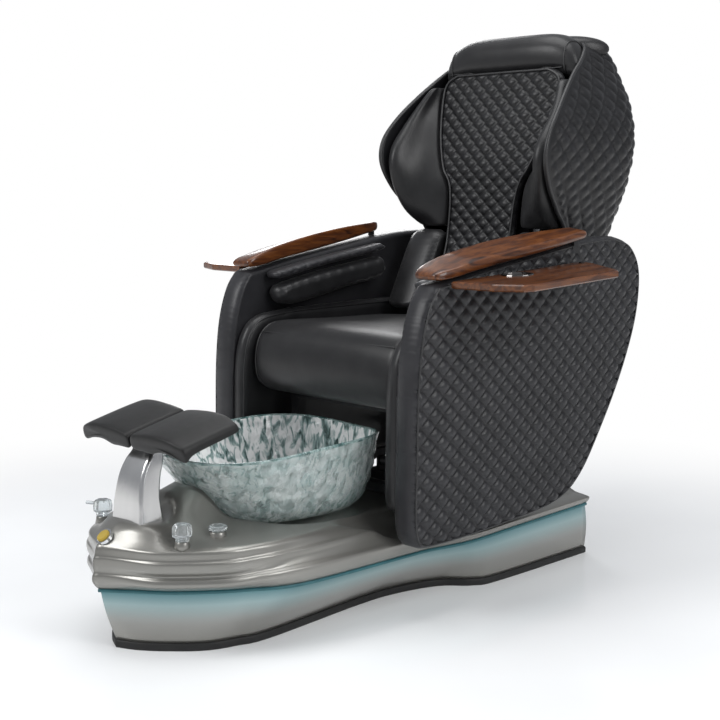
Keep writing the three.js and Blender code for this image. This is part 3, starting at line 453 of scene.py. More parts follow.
def bowl_glass(name, pale, mid, dark_reflection_tone, clear, scale, stretch):
    """Thick hammered glass: pale tones of painted highlight and dark tones of painted reflection over clear
    glass, in its base colour.
    """
    s = Shader(name)
    streaks = s.noise(scale, 5, stretch, 0.7)
    # The palest tones are painted highlights and the darkest are painted reflections.
    s.color(streaks, [(0.33, dark_reflection_tone), (0.45, mid), (0.53, pale), (0.64, pale), (0.76, mid)])
    s.level(s.noise(9, 3), clear - 0.15, clear + 0.15, "Transmission Weight")
    s.bump(s.noise(26, 4, (1.5, 1.5, 0.8), 0.8), 0.007, 0.9)
    s.bump(s.cells(70), 0.003, 0.5)
    return s.set(Roughness=0.04, IOR=1.45, Coat_Weight=0.6, Coat_Roughness=0.02).material


# Inside the bowl, the painted highlights are white and the painted reflections near black; the rim band is
# darker teal throughout.
GLASS = bowl_glass("aqua_glass_outside", (0.90, 0.98, 0.96), (0.80, 0.92, 0.90), (0.60, 0.76, 0.74),
                   0.72, 15, (1, 1, 1.4))
INNER_GLASS = bowl_glass("aqua_glass_inside", (1.0, 1.0, 1.0), (0.30, 0.42, 0.41), (0.02, 0.06, 0.055),
                         0.35, 34, (1.8, 1.8, 0.55))
RIM_GLASS = bowl_glass("aqua_glass_rim", (0.60, 0.78, 0.76), (0.26, 0.44, 0.43), (0.08, 0.22, 0.21),
                       0.7, 30, (1, 1, 3))


def acrylic():
    s = Shader("clear_acrylic")
    s.color(s.noise(30, 2), [(0.3, (0.82, 0.88, 0.9)), (0.7, (0.93, 0.96, 0.97))])
    s.bump(s.noise(60, 2), 0.0004, 0.3)
    return s.set(Roughness=0.05, IOR=1.49, Transmission_Weight=0.85).material


ACRYLIC = acrylic()


def dark(name, color, roughness, grain):
    s = Shader(name)
    s.color(s.noise(20, 3), [(0.3, color), (0.7, tuple(c * 1.5 for c in color))])
    s.level(s.noise(80, 3), roughness - 0.06, roughness + 0.08)
    s.bump(s.noise(grain, 3), 0.0002, 0.3)
    return s.material


RUBBER = dark("black_rubber", (0.010, 0.010, 0.010), 0.62, 400)
PLASTIC = dark("black_plastic", (0.016, 0.016, 0.018), 0.38, 600)
CORD = dark("piping_leather", (0.016, 0.016, 0.017), 0.40, 500)
AMBER = dark("button_face", (0.42, 0.30, 0.05), 0.35, 300)


# ---- fixed finishes of the CAD nodes that stay visible ----
FINISHES = [
    (CHROME, ["button_bezel", "bowl_drain_fitting", "drain_stopper", "mixer_valve", "slide_actuator_rod",
              "recline_actuator_rod"]),
    # The cup holders are darkened chrome, painted shade in their recesses.
    (SHADED_RECESS_CHROME, ["cup_holder_left", "cup_holder_right"]),
    (ACRYLIC, ["hot_knob", "cold_knob", "drain_knob", "water_spout"]),
    (AMBER, ["jet_button"]),
    (PLASTIC, ["drain_hose", "jet_pump", "control_box", "massage_carriage", "upper_rollers", "lower_rollers",
               "recline_actuator_body"]),
    (STEEL, ["base_floor_pan", "drive_pinion"]),
    (BLACK_STEEL, ["footrest_bracket", "seat_frame", "slide_actuator_tube", "back_frame",
                   "seat_rail_left", "seat_rail_right", "arm_hinge_left", "arm_hinge_right",
                   "tray_bracket_left", "tray_bracket_right"]),
    (WALNUT, ["tray_left", "tray_right"]),
]
for material, node_names in FINISHES:
    for node_name in node_names:
        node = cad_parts[node_name]
        node.data.materials.clear()
        node.data.materials.append(material)


def settle(obj, body, nodes):
    """The piece rides on a body and stands for CAD nodes."""
    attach(obj, body)
    if nodes:
        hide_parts(*nodes)


def trim(obj, body):
    """A cord or seam added on top of a body's leather."""
    settle(obj, body, [])


# ---- base: outlines, top deck, lower shell ----
FLOOR_LINE = [[0, -694], [50, -670], [104, -626], [160, -562], [185, -492], [199, -400], [172, -92],
              [174, 43], [207, 168], [267, 237], [289, 320], [289, 705]]
SKIRT_LINE = [[0, -736], [66, -682], [128, -630], [185, -563], [230, -495], [286, -370], [297, -60],
              [300, 30], [318, 130], [321, 210], [312, 350], [291, 702]]
STEP_LINE = [[0, -728], [68, -686], [131, -638], [188, -570], [230, -500], [260, -385], [240, -240],
             [204, -90], [188, 20], [186, 110], [186, 260], [186, 689]]
# Toward the step line, bulge at the nose and elsewhere, height at the nose, sides and under the seat.
LEDGE = [
    [0, 0, 0, 147.5, 147.5, 147.5], [0, 14, 8, 156, 157, 153], [0, 25, 13, 168, 172, 159],
    [0, 25, 12, 180, 186, 165], [0.1, 20, 4, 189, 194, 170], [0.3, 24, 2, 203, 207, 174],
    [0.42, 24, 3, 219, 222, 178], [0.55, 20, 0, 227, 228, 188], [0.85, 18, 2, 243, 243, 214],
    [1, 12, 0, 250, 250, DECK_Z],
]
SIDE_STEPS = 110
REAR_STEPS = 14
LEDGE_STEPS = 54
DECK_STEPS = 16
# How much of the nose bulge shows at the bow's crease and on its flanks.
BOW_BULGE = (0.5, 1.65)
# Below 1 the deck rises steeply from its rim toward the crest.
DECK_SWELL = 0.8


def outline(half):
    right = spline(half, SIDE_STEPS)
    corner, rear = half[-1]
    back = [[corner * (1 - i / REAR_STEPS), rear] for i in range(1, REAR_STEPS + 1)]
    right = np.vstack([right, back])
    left = right[1:-1][::-1] * [-1, 1]
    return np.vstack([right, left])


def offset(ring, distance):
    def normal(p, q):
        d = q - p
        d = d / np.linalg.norm(d, axis=1)[:, None]
        return np.stack([d[:, 1], -d[:, 0]], 1)

    a = normal(np.roll(ring, 1, 0), ring)
    b = normal(ring, np.roll(ring, -1, 0))
    return ring + (a + b) * (distance / (1 + (a * b).sum(1)))[:, None]


floor_ring, skirt_ring, step_ring = outline(FLOOR_LINE), outline(SKIRT_LINE), outline(STEP_LINE)


def level(ring, z):
    return np.column_stack([ring, np.full(len(ring), float(z))])


def ledge_ring(row, inward=0, down=0):
    blend, nose_bulge, bulge, nose_z, side_z, seat_z = row
    out = offset(skirt_ring, 1) - skirt_ring
    y = skirt_ring[:, 1]
    side, seat = ease(-560, -380, y), ease(-70, 10, y)
    nose_bulge = nose_bulge * mix(BOW_BULGE[0], BOW_BULGE[1], ease(0, 125, np.abs(skirt_ring[:, 0])))
    shift = mix(mix(nose_bulge, bulge, side), bulge / 2, seat) - inward
    xy = mix(skirt_ring, step_ring, blend) + out * shift[:, None]
    return np.column_stack([xy, mix(mix(nose_z, side_z, side), seat_z, seat) + down])


def recess_edge(ring):
    x, y = ring[:, 0], ring[:, 1]
    angle = np.arctan2(x, -(y - RECESS["y"]))
    c = np.cos(angle)
    crest = 72 * np.exp(-((angle / 0.34) ** 4)) + 30 * np.exp(-((angle / 0.95) ** 2))
    ahead = (RECESS["front"] - 207) * np.abs(c) ** 14
    behind = (RECESS["rear"] - 207) * c * c
    reach = 207 + 10 * np.sin(angle) ** 2 + np.where(c > 0, ahead, behind)
    height = mix(250, 238, ease(0, 1, -c)) + crest
    return np.column_stack([reach * np.sin(angle), RECESS["y"] - reach * c, height])


# The deck is levelled under the footrest post.
POST_SEAT = {"y": -626, "half_width": 62, "half_length": 42, "z": 292}


def levelled(ring):
    across_share = ring[:, 0] / POST_SEAT["half_width"]
    along_share = (ring[:, 1] - POST_SEAT["y"]) / POST_SEAT["half_length"]
    far = np.hypot(across_share, along_share)
    ring[:, 2] = mix(POST_SEAT["z"], ring[:, 2], ease(1.1, 1.9, far))
    return ring


def knob_boss(x, y, top, radius):
    """A low round boss with a softened rim."""
    turns = np.linspace(0, 2 * math.pi, 48, endpoint=False)
    profile = ((radius + 3, top - 22), (radius, top - 8), (radius - 1, top - 2), (radius - 3, top))
    rings = [level(np.column_stack([x + r * np.cos(turns), y + r * np.sin(turns)]), z) for r, z in profile]
    return loft("boss", rings, LACQUER)


def deck():
    rings = [ledge_ring(row) for row in spline(LEDGE, LEDGE_STEPS)]
    edge = recess_edge(step_ring)
    last = rings[-1]
    for t in np.linspace(0, 1, DECK_STEPS + 1)[1:-1]:
        ring = mix(last, edge, t)
        ring[:, 2] = mix(last[:, 2], edge[:, 2], t**DECK_SWELL)
        rings.append(levelled(ring))
    for scale, fall, shift in spline([[1, 0, 0], [0.94, 0.5, 2], [0.86, 0.86, 8], [0.74, 1, 16]], 12):
        ring = edge.copy()
        ring[:, 0] *= scale
        ring[:, 1] = RECESS["y"] + shift + (ring[:, 1] - RECESS["y"]) * scale
        ring[:, 2] = mix(edge[:, 2], RECESS["floor"], fall)
        rings.append(ring)
    spoke = edge[:, :2] - [0, RECESS["y"]]
    spoke /= np.linalg.norm(spoke, axis=1)[:, None]
    rings.append(level(spoke * RECESS["hole"] + [0, BOWL["drain_y"]], RECESS["floor"]))
    first_deck_ring = LEDGE_STEPS + 4
    under = [ring - [0, 0, SHEET] for ring in rings[first_deck_ring:]]
    inner = [ledge_ring(row, SHEET, 0) for row in LEDGE[:3]]
    loop = rings + under[::-1] + inner[::-1]
    return loft("top_deck", loop, LACQUER, looped=True)


# The hot and cold knobs, then the drain knob.
bosses = [knob_boss(157, -618, 266.4, 17), knob_boss(-157, -618, 266.4, 17), knob_boss(155, -517, 270.4, 20)]
settle(joined("top_deck", [deck()] + bosses), "base", ["base_top_deck"])


def skirt(inset):
    low, high = offset(floor_ring, -inset), offset(skirt_ring, -inset - 1)
    rings = []
    for t in np.linspace(0, 1, 13):
        ring = mix(low, high, t)
        bow = offset(ring, 4 * math.sin(math.pi * t) if inset < 5 else 0)
        rings.append(level(bow, mix(STRIP_HEIGHT + 0.4, SKIRT_TOP, t)))
    return rings


lower_shell = loft("lower_shell", skirt(2) + skirt(2 + SHEET)[::-1], LIT_LACQUER, looped=True)
settle(lower_shell, "base", ["base_lower_shell"])


def strip(name, ring, section, material):
    """A closed strip round an outline, from its section of (outward, height)."""
    return loft(name, [level(offset(ring, out), z) for out, z in section], material, looped=True)


KICK_SECTION = ((0, 0), (1.5, 3), (1.5, 14), (0, STRIP_HEIGHT), (-14, STRIP_HEIGHT), (-14, 0))
settle(strip("kick_strip_rubber", floor_ring, KICK_SECTION, RUBBER), "base", ["kick_strip"])
LED_SECTION = ((-1.5, 140), (1.5, 140), (2, 143), (1.5, SKIRT_TOP), (-1.5, SKIRT_TOP))
settle(strip("led_light_strip", skirt_ring, LED_SECTION, LED), "base", ["led_strip"])


# ---- glass bowl ----
# Size relative to the rim, height, and how far the section sits back.
BOWL_SIDE = [[0.5, 238, 58], [0.62, 242, 58], [0.7, 252, 56], [0.77, 272, 52], [0.83, 302, 45],
             [0.885, 340, 34], [0.94, 385, 16], [0.985, 416, 3], [1, BOWL["rim"], 0]]
BOWL_POINTS = 220


def hammered(a, z):
    """Uneven ripples over the glass, by angle and height."""
    broad = np.sin(9 * a + z * 0.05) * np.sin(z * 0.11 + 2 * np.sin(3 * a))
    fine = np.sin(23 * a + 0.6 * np.sin(z * 0.09)) * np.cos(z * 0.17 + a * 5)
    return broad + 0.6 * fine


def bowl_ring(scale, z, back, inset, wavy, ripple=0.0):
    """One section of the bowl: squarish, narrower at the front, flaring at the rear of the rim."""
    a = np.linspace(0, 2 * math.pi, BOWL_POINTS, endpoint=False)
    squarish = 1 / (np.abs(np.sin(a)) ** 2.6 + np.abs(np.cos(a)) ** 2.6) ** (1 / 2.6)
    narrow = 1 - 0.16 * ((1 + np.cos(a)) / 2) ** 2
    ahead = ((1 + np.cos(a)) / 2) ** 3
    hammer = ripple * hammered(a, z)
    flare = 1 + 0.045 * wavy * ((1 - np.cos(a)) / 2) ** 2
    return np.column_stack([
        (BOWL["half_width"] * scale - inset + hammer) * squarish * np.sin(a) * narrow * flare,
        BOWL["y"] + back - (BOWL["half_length"] * scale - inset + hammer) * squarish * np.cos(a) * flare,
        z + wavy * (6 * np.cos(3 * a + 0.4) - 12 * ahead + 4),
    ])


def glass_bowl():
    a = np.linspace(0, 2 * math.pi, BOWL_POINTS, endpoint=False)
    hole = np.column_stack([BOWL["drain"] * np.sin(a), BOWL["drain_y"] - BOWL["drain"] * np.cos(a)])
    rim, wall = BOWL["rim"], BOWL["wall"]
    outside, inside = [], []
    for share, z, back in spline(BOWL_SIDE, 48):
        wave, calm_rim = ease(300, rim, z), 1 - ease(395, 420, z)
        outside.append(bowl_ring(share, z, back, 0, wave, 2.2 * ease(240, 290, z) * calm_rim))
        lifted = mix(z + wall, z, wave)
        inside.append(bowl_ring(share, lifted, back, wall, wave, 1.5 * ease(250, 300, z) * calm_rim))
    lip = bowl_ring(1, rim + 3, 0, wall / 2, 1)
    skin = [level(hole, 238)] + outside + [lip] + inside[::-1] + [level(hole, 247)]
    bowl = loft("aqua_glass_bowl", skin, GLASS, looped=True)
    bowl.data.materials.append(INNER_GLASS)
    bowl.data.materials.append(RIM_GLASS)
    shown = np.zeros(len(bowl.data.polygons), int)
    last_outside = (len(outside) + 1) * BOWL_POINTS
    shown[last_outside:] = 1
    shown[last_outside - 5 * BOWL_POINTS:last_outside + 2 * BOWL_POINTS] = 2
    bowl.data.polygons.foreach_set("material_index", shown)
    return bowl


settle(glass_bowl(), "base", ["glass_bowl"])


# ---- footrest ----
# Height, front, rear and half width of the post.
POST_SIDE = [[246, -666, -588, 62], [300, -659, -594, 58], [345, -655, -598, 54], [390, -646, -592, 49],
             [422, -631, -581, 45], [440, -617, -577, 41], [449, -612, -577, 39.5], [451, -610, -580, 37]]
PIN = np.array([0, -588, 456])


def rounded_ring(half, front, rear, corner, steps=10):
    corner = min(corner, half * 0.95, (rear - front) * 0.48)
    points = []
    centres = ((half - corner, rear - corner), (corner - half, rear - corner),
               (corner - half, front + corner), (half - corner, front + corner))
    for quarter, (x, y) in enumerate(centres):
        for i in range(steps + 1):
            a = (quarter + i / steps) * math.pi / 2
            points.append([x + corner * math.cos(a), y + corner * math.sin(a)])
    return np.array(points)


post_rings = [level(rounded_ring(half, front, rear, 9), z) for z, front, rear, half in spline(POST_SIDE, 42)]
post = loft("post_shell", post_rings, BRUSHED)


def knuckle_ring(x, radius):
    turns = np.linspace(0, 2 * math.pi, 32, endpoint=False)
    return np.column_stack([np.full(32, x), PIN[1] + radius * np.cos(turns), PIN[2] + radius * np.sin(turns)])


KNUCKLE_SECTION = ((-22, 6.6), (-22, 12), (-21, 13), (21, 13), (22, 12), (22, 6.6))
knuckle = loft("post_knuckle", [knuckle_ring(x, r) for x, r in KNUCKLE_SECTION], CHROME, looped=True)
neck = loft("post_neck", [level(rounded_ring(21.8, -599, -577, 4), z) for z in (432, 447)], BRUSHED)
settle(joined("footrest_post_body", [post, knuckle, neck]), "base", ["footrest_post"])

TILT = math.radians(14)
# Along a pad: how thick it is at each y, as a share of its full section.
PAD_LENGTH = ((-54, 0.5), (-51, 0.95), (-44, 1.0), (-34, 1.06), (31, 1.1), (100, 1.04), (113, 0.9),
              (117, 0.5))
PAD_HALF = 202
PAD_LIP = 14
TO_PAD = Matrix.Translation(Vector(PIN)) @ Matrix.Rotation(TILT, 4, "X")


def pad_top(x):
    return 46 + 10 * math.sin(math.pi * min(1, max(0, (x - 4) / 200))) - 8 * float(ease(150, PAD_HALF, x))


def pad_seat(x):
    """Height of a pad's underside, above the bracket near the middle."""
    return max(pad_top(x) - 24 - 12 * (1 - ease(60, 120, x)), 23 if x < 62 else 0)


def foot_pad(side):
    """One half of the footrest: a rounded pad, thick at its ends, over the tilted bracket."""
    xs = np.linspace(3, PAD_HALF, 12)
    rings = []
    for y, thick in PAD_LENGTH:
        upper = [[x, pad_top(x)] for x in xs]
        lip = PAD_LIP * (1 - ease(-43, -34, y))
        lower = [[x, pad_seat(x) - lip] for x in xs]
        ring = []
        for (x, z), (_, partner) in list(zip(lower, upper)) + list(zip(upper, lower))[::-1]:
            middle = (z + partner) / 2
            spread = middle + (z - middle) * thick
            pulled_in = 6 * ease(PAD_HALF - 40, PAD_HALF, x) * (1 if y < 0 else -1)
            ring.append(np.array(TO_PAD @ Vector((x, y + pulled_in, spread))) * [side, 1, 1])
        rings.append(ring)
    return rounded(loft("foot_pad", rings, PAD_LEATHER))


for word, side in SIDES.items():
    pad = foot_pad(side)
    pad.name = f"foot_pad_{word}"
    settle(pad, "footrest", [f"footrest_pad_{word}"])


# ---- side panels ----
PANEL_TOP = [[-31, 813], [20, 822], [90, 836], [213, 855], [348, 875], [506, 898], [600, 906], [680, 908]]
PANEL_BACK = [[680, 908], [752, 886], [798, 830], [806, 754], [786, 654], [730, 528], [648, 395], [548, 266],
              [440, 208], [250, 188], [60, 180], [-48, 180]]
PANEL_NOSE = [[-48, 180], [-92, 192], [-110, 250], [-108, 400], [-104, 560], [-91, 680], [-64, 767],
              [-31, 813]]
panel_outline = np.vstack([spline(PANEL_TOP, 60), spline(PANEL_BACK, 160)[1:], spline(PANEL_NOSE, 70)[1:-1]])
PANEL_MIDDLE = (PANEL["inner"] + PANEL["outer"]) / 2
PANEL_HALF = (PANEL["outer"] - PANEL["inner"]) / 2


def beside(side, x):
    """Places a slab at a width, its front away from the sitter."""

    def place(y, z, h):
        return (side * (x + h), y, z)

    return place


def side_panel(word, side):
    place = beside(side, PANEL_MIDDLE)
    piece = slab(f"side_panel_cover_{word}", panel_outline, place, PANEL_HALF - 3, PANEL_HALF, 17,
                 PANEL_LEATHER, diamond=(52, 46), quilt=9.5, crown=5.0, wall=0.62, calm=16)
    settle(piece, "chair", [f"side_panel_{word}"])


def inset_path(path, distance):
    """A closed outline moved inwards."""
    ring = np.asarray(path, float)
    area = np.sum(ring[:, 0] * np.roll(ring[:, 1], -1) - np.roll(ring[:, 0], -1) * ring[:, 1])
    return offset(ring, -distance if area > 0 else distance)


def panel_piping(word, side):
    ring = inset_path(panel_outline[::2], 9)
    cords = []
    for from_middle, radius in ((PANEL_HALF - 7, 2.4), (7 - PANEL_HALF, 2.0)):
        path = [(side * (PANEL_MIDDLE + from_middle), y, z) for y, z in ring]
        cords.append(tube("cord", path, radius, CORD, closed=True))
    trim(joined(f"panel_piping_{word}", cords), "chair")


for word, side in SIDES.items():
    side_panel(word, side)
    panel_piping(word, side)


# ---- seat and arm compartment ----
# The cushion's section in (y, z), from its rear edge over the top and round the front.
SEAT_SIDE = [[424, 668], [300, 671], [200, 673], [60, 678], [-8, 672], [-46, 640], [-61, 580], [-50, 524],
             [-12, 494], [60, 491], [424, 491]]


def seat_cushion():
    """A crowned cushion: one section swept across the width, easing down and in at both ends."""
    section = spline(SEAT_SIDE, 110)
    middle = np.array([170, 580])
    rings = []
    for t in np.linspace(-1, 1, 65):
        end = 1 - abs(t)
        tuck = (1 - ease(0, 0.055, end)) ** 2
        crown = 9 * (1 - abs(t) ** 2.4)
        ring = mix(section, middle, tuck * 0.08)
        top = ease(560, 660, ring[:, 1])
        front = ease(40, -50, ring[:, 0])
        ring = ring + np.column_stack([-5 * front * (1 - abs(t) ** 3), crown * top])
        rings.append(np.column_stack([np.full(len(ring), t * SEAT_HALF), ring]))
    return loft("seat_cushion_cover", rings, LEATHER)


settle(seat_cushion(), "chair", ["seat_cushion"])
for word, side in SIDES.items():
    section = spline(SEAT_SIDE[:9], 90)
    edge = offset(np.vstack([section, [[424, 491]]]), -1.0)[:len(section)]
    path = [(side * (SEAT_HALF - 7), y, z) for y, z in edge]
    trim(tube(f"seat_piping_{word}", path, 2.4, CORD), "chair")
seat_seam = [(x, -40 - 4 * (1 - (x / 250) ** 2), 655) for x in np.linspace(-250, 250, 60)]
trim(tube("seat_front_seam", seat_seam, 1.4, CORD), "chair")

LINER_NOSE = [[-88, 262], [-99, 300], [-98, 420], [-94, 560], [-76, 640], [-30, 688], [70, 704], [200, 708]]
LINER_REAR = [[380, 711], [558, 712], [558, 480], [558, 264], [300, 263], [100, 262]]
liner_outline = np.vstack([spline(LINER_NOSE, 80), LINER_REAR])
LOWER_PAD = [[428, 838], [200, 806], [60, 780], [26, 765], [27, 740], [54, 722], [120, 726], [280, 756],
             [428, 784]]
FLAP = [[428, 876], [200, 844], [60, 820], [22, 811], [22, 795], [60, 796], [200, 822], [428, 856]]


def across(side, low, high):
    """Places a slab between two widths, its front toward the sitter."""
    middle = (low + high) / 2

    def place(y, z, h):
        return (side * (middle - h), y, z)

    return place, (high - low) / 2


def closed_spline(points, count):
    return spline(points + points[:1], count)[:-1]


def arm_compartment(word, side):
    """The padded inner wall with its piping, and the lower pad and quilted flap above it."""
    place, half = across(side, 269, 309.4)
    inner = slab(f"arm_inner_cover_{word}", liner_outline, place, half - 2, half, 12, LEATHER,
                 cell=9, wall=0.6, crown=1.5)
    settle(inner, "chair", [f"arm_inner_pad_{word}"])
    path = [(side * 271.5, y, z) for y, z in inset_path(liner_outline[::2], 7)]
    piping = tube(f"arm_inner_piping_{word}", path, 2.0, CORD, closed=True)
    trim(piping, "chair")
    place, half = across(side, 243, 309.4)
    lower = slab(f"arm_lower_cover_{word}", closed_spline(LOWER_PAD, 120), place, half, half, 22, LEATHER,
                 cell=7, wall=0.45)
    settle(lower, "chair", [f"arm_lower_pad_{word}"])
    place, half = across(side, 250, 309.4)
    flap = slab(f"arm_flap_cover_{word}", closed_spline(FLAP, 120), place, half, half, 12, PANEL_LEATHER,
                diamond=(34, 26), fine=6, quilt=2.5, wall=0.5, calm=8)
    settle(flap, "chair", [f"arm_flap_{word}"])


for word, side in SIDES.items():
    arm_compartment(word, side)


# ---- wooden arms ----
# y, inner x, outer x, underside, inner top and outer top.
ARM_SIDE = [[-38, 310, 380, 825, 842, 838], [-30, 306, 385, 823, 848, 843], [20, 304, 396, 829, 868, 853],
            [90, 307, 404, 843, 886, 868], [213, 316, 410, 862, 909, 887], [348, 332, 414, 882, 926, 905],
            [470, 350, 415, 902, 935, 924], [511, 357, 414, 908, 938, 930]]


def toward(corner, other, distance):
    """A point on the way from a corner to another, kept short of their middle."""
    apart = np.linalg.norm(other - corner)
    return corner + (other - corner) / apart * min(distance, apart * 0.45)


def wood_arm(side):
    """The arm's sections, rounded at their corners and drawn in at both ends."""
    rings = []
    for y, inner, outer, under, inner_top, outer_top in spline(ARM_SIDE, 42):
        end = min(1, (y + 38) / 26, (511 - y) / 16)
        round_off = 1 - 0.45 * (1 - math.sqrt(max(0, 1 - (1 - end) ** 2)))
        corners = np.array([[inner, under], [outer, under], [outer, outer_top], [inner, inner_top]])
        centre = corners.mean(0)
        corners = centre + (corners - centre) * [round_off**0.4, round_off]
        ring = []
        for k, corner in enumerate(corners):
            before, after = corners[k - 1], corners[(k + 1) % 4]
            soft = 14 if k in (0, 1) else 10
            a = toward(corner, before, soft)
            b = toward(corner, after, soft)
            for t in (0, 0.25, 0.5, 0.75, 1):
                ring.append(a * (1 - t) ** 2 + corner * 2 * t * (1 - t) + b * t * t)
        rings.append([(side * x, y, z) for x, z in ring])
    return loft("wood_arm_body", rings, WALNUT)


for word, side in SIDES.items():
    arm = wood_arm(side)
    arm.name = f"walnut_arm_{word}"
    settle(arm, f"arm_{word}", [f"wood_arm_{word}"])


# ---- back ----
# Half width, front rim and rear face of the shell at each height.
SHELL = [[440, 244, 562, 650], [600, 252, 562, 745], [760, 258, 572, 835], [903, 262, 622, 905],
         [980, 280, 558, 926], [1040, 296, 504, 938], [1110, 308, 470, 947], [1175, 310, 480, 953],
         [1240, 300, 530, 956], [1300, 280, 592, 956], [1350, 260, 652, 946], [1385, 246, 700, 930],
         [1418, 228, 740, 900], [1436, 205, 764, 860]]
SHELL_WALL = 10
SHELL_DIAMOND = (60, 54)
SHELL_PUFF = 8.0


def shell_path(half, front, rear, inset, samples):
    """Half of a U in plan, from the front rim round to the middle of the rear, evenly sampled.

    Also gives its outward directions and the distance from the rim.
    """
    radius = min(120, half * 0.6, (rear - front) * 0.45)
    straight = np.array([[half, front], [half, rear - radius]])
    angles = np.linspace(0, math.pi / 2, 14)
    arc = np.column_stack([half - radius + radius * np.cos(angles), rear - radius + radius * np.sin(angles)])
    points = np.vstack([straight[:1], arc, [[0, rear]]])
    reach = np.concatenate([[0], np.cumsum(np.linalg.norm(np.diff(points, axis=0), axis=1))])
    s = np.linspace(0, reach[-1], samples)
    xy = np.column_stack([np.interp(s, reach, points[:, 0]), np.interp(s, reach, points[:, 1])])
    forward = np.gradient(xy, axis=0)
    forward /= np.linalg.norm(forward, axis=1)[:, None]
    normal = np.column_stack([forward[:, 1], -forward[:, 0]])
    return xy - normal * inset, normal, s


def both_sides(half_ring):
    """The ring with its mirror image, joined in the middle of the rear."""
    return np.vstack([half_ring, half_ring[:-1][::-1] * [-1, 1]])


def back_shell():
    """The quilted wall of the shell, calm along its rim, its foot and its top."""
    rings = []
    foot, top = SHELL[0][0], SHELL[-1][0]
    for z, half, front, rear in spline(SHELL, 180):
        xy, normal, from_rim = shell_path(half, front, rear, 0, 130)
        round_share = (from_rim - from_rim[-1]) / SHELL_DIAMOND[0]
        puff = diamond_puff(round_share + z / SHELL_DIAMOND[1], round_share - z / SHELL_DIAMOND[1])
        calm = ease(16, 34, from_rim) * ease(10, 30, z - foot) * ease(8, 30, top - z)
        lift = SHELL_PUFF * (calm * puff - 1) + 3 * (1 - calm)
        outer = level(both_sides(xy + normal * lift[:, None]), z)
        inner_xy, _, _ = shell_path(half, front, rear, SHELL_WALL, 130)
        inner = level(both_sides(inner_xy), min(z, top - 12))
        rings.append(np.vstack([outer, inner[::-1]]))
    return loft("back_shell_body", rings, QUILT_LEATHER, capped=False)


def shell_roof():
    """The padded top that closes the shell behind the headrest."""
    z, half, front, rear = SHELL[-1]
    xy, _, _ = shell_path(half, front, rear, 1, 60)
    ring = both_sides(xy)
    middle = np.array([0, (front + rear) / 2])
    rings = [level(ring, z - 20)]
    for t in np.linspace(0, 0.96, 12):
        swell = 17 * math.sin(math.pi / 2 * min(1, (t + 0.02) * 2.2))
        rings.append(level(mix(ring, middle, t), z - 14 + swell))
    return loft("roof", rings, QUILT_LEATHER)


shell = joined("back_shell_cover", [back_shell(), shell_roof()])
settle(shell, "back", ["back_shell"])


for word, side in SIDES.items():
    rim = [(side * (half - SHELL_WALL / 2), front - 1.5, z) for z, half, front, rear in spline(SHELL, 120)]
    trim(tube(f"shell_rim_piping_{word}", rim, 6.0, CORD, sides=12), "back")

# Height, half width and front surface of the centre pad.
CENTRE_PAD = [[652, 112, 452], [760, 114, 500], [860, 116, 538], [910, 120, 553], [1000, 124, 566],
              [1053, 136, 573], [1093, 162, 577], [1175, 193, 599], [1260, 214, 626], [1323, 216, 641],
              [1352, 200, 646], [1369, 165, 648]]
pad_rows = spline(CENTRE_PAD, 132)


def pad_front(z):
    return float(np.interp(z, pad_rows[:, 0], pad_rows[:, 2]))


def pad_half(z):
    return float(np.interp(z, pad_rows[:, 0], pad_rows[:, 1]))


pad_right = np.column_stack([pad_rows[:, 1], pad_rows[:, 0]])
pad_outline = np.vstack([pad_right, pad_right[::-1] * [-1, 1]])


def pad_place(x, z, h):
    return (x, pad_front(z) + PAD_DEPTH / 2 - h + 2.0 * (x / 190) ** 2, z)


centre = slab("centre_pad_cover", pad_outline, pad_place, PAD_DEPTH / 2 - 1, PAD_DEPTH / 2, 16, QUILT_LEATHER,
              diamond=(46, 38), fine=8, quilt=7.5, crown=4, wall=0.3, calm=14)
settle(centre, "back", ["centre_pad"])
pad_cord = [(x, pad_front(z) + 3.0, z) for x, z in inset_path(pad_outline[::2], 5)]
trim(tube("centre_pad_piping", pad_cord, 3.2, CORD, closed=True), "back")

# Height and leading edge of a shoulder wing.
WING = [[925, 575], [945, 540], [975, 506], [1015, 486], [1065, 472], [1110, 466], [1160, 480], [1215, 524],
        [1275, 570], [1332, 610]]
shell_rows = spline(SHELL, 120)


def shell_half(z):
    return float(np.interp(z, shell_rows[:, 0], shell_rows[:, 1]))


def wing_ring(z, lead, side):
    """A wing's section at a height, from the shell inwards to the centre pad and forward to its lead."""
    outer = shell_half(z) - SHELL_WALL - 6
    tip = min(268, outer - 14)
    root = max(pad_half(z), 128) + 7
    root_front = pad_front(z) + 6
    rear = max(root_front + 28, lead + 52)
    ring = [
        (outer, lead + 34), (outer, mix(lead + 34, rear, 0.5)), (outer, rear),
        (mix(outer, root, 0.5), rear), (root, rear), (root, root_front),
        (mix(root, tip, 0.5), mix(root_front, lead, 0.3) - 6), (tip - 18, lead + 6),
        (tip + 2, lead + 2), (outer - 4, lead + 14),
    ]
    return [(side * x, y, z) for x, y in ring]


for word, side in SIDES.items():
    wing = loft("wing", [wing_ring(z, lead, side) for z, lead in spline(WING, 16)], LEATHER)
    wing = rounded(wing)
    wing.name = f"shoulder_wing_cover_{word}"
    settle(wing, "back", [f"shoulder_wing_{word}"])

BOLSTER = [[426, 698], [440, 724], [452, 748], [492, 830], [524, 888], [548, 912], [578, 914], [584, 890],
           [560, 838], [480, 698]]
BOLSTER_X = 191


for word, side in SIDES.items():
    bolster = slab(f"hip_bolster_cover_{word}", closed_spline(BOLSTER, 110), beside(side, BOLSTER_X),
                   60, 60, 24, LEATHER, cell=6, wall=0.55, power=2.2)
    settle(bolster, "back", [f"hip_bolster_{word}"])

PILLOW = {"half": 238, "y": 725, "z": 1407, "depth": 75, "height": 62, "sweep": -30, "drop": 38}
HOOD = {"half": 236, "y": 790, "z": 1432, "depth": 70, "height": 34, "sweep": 40, "drop": 6}
HEAD_SEAM_Z = 1368


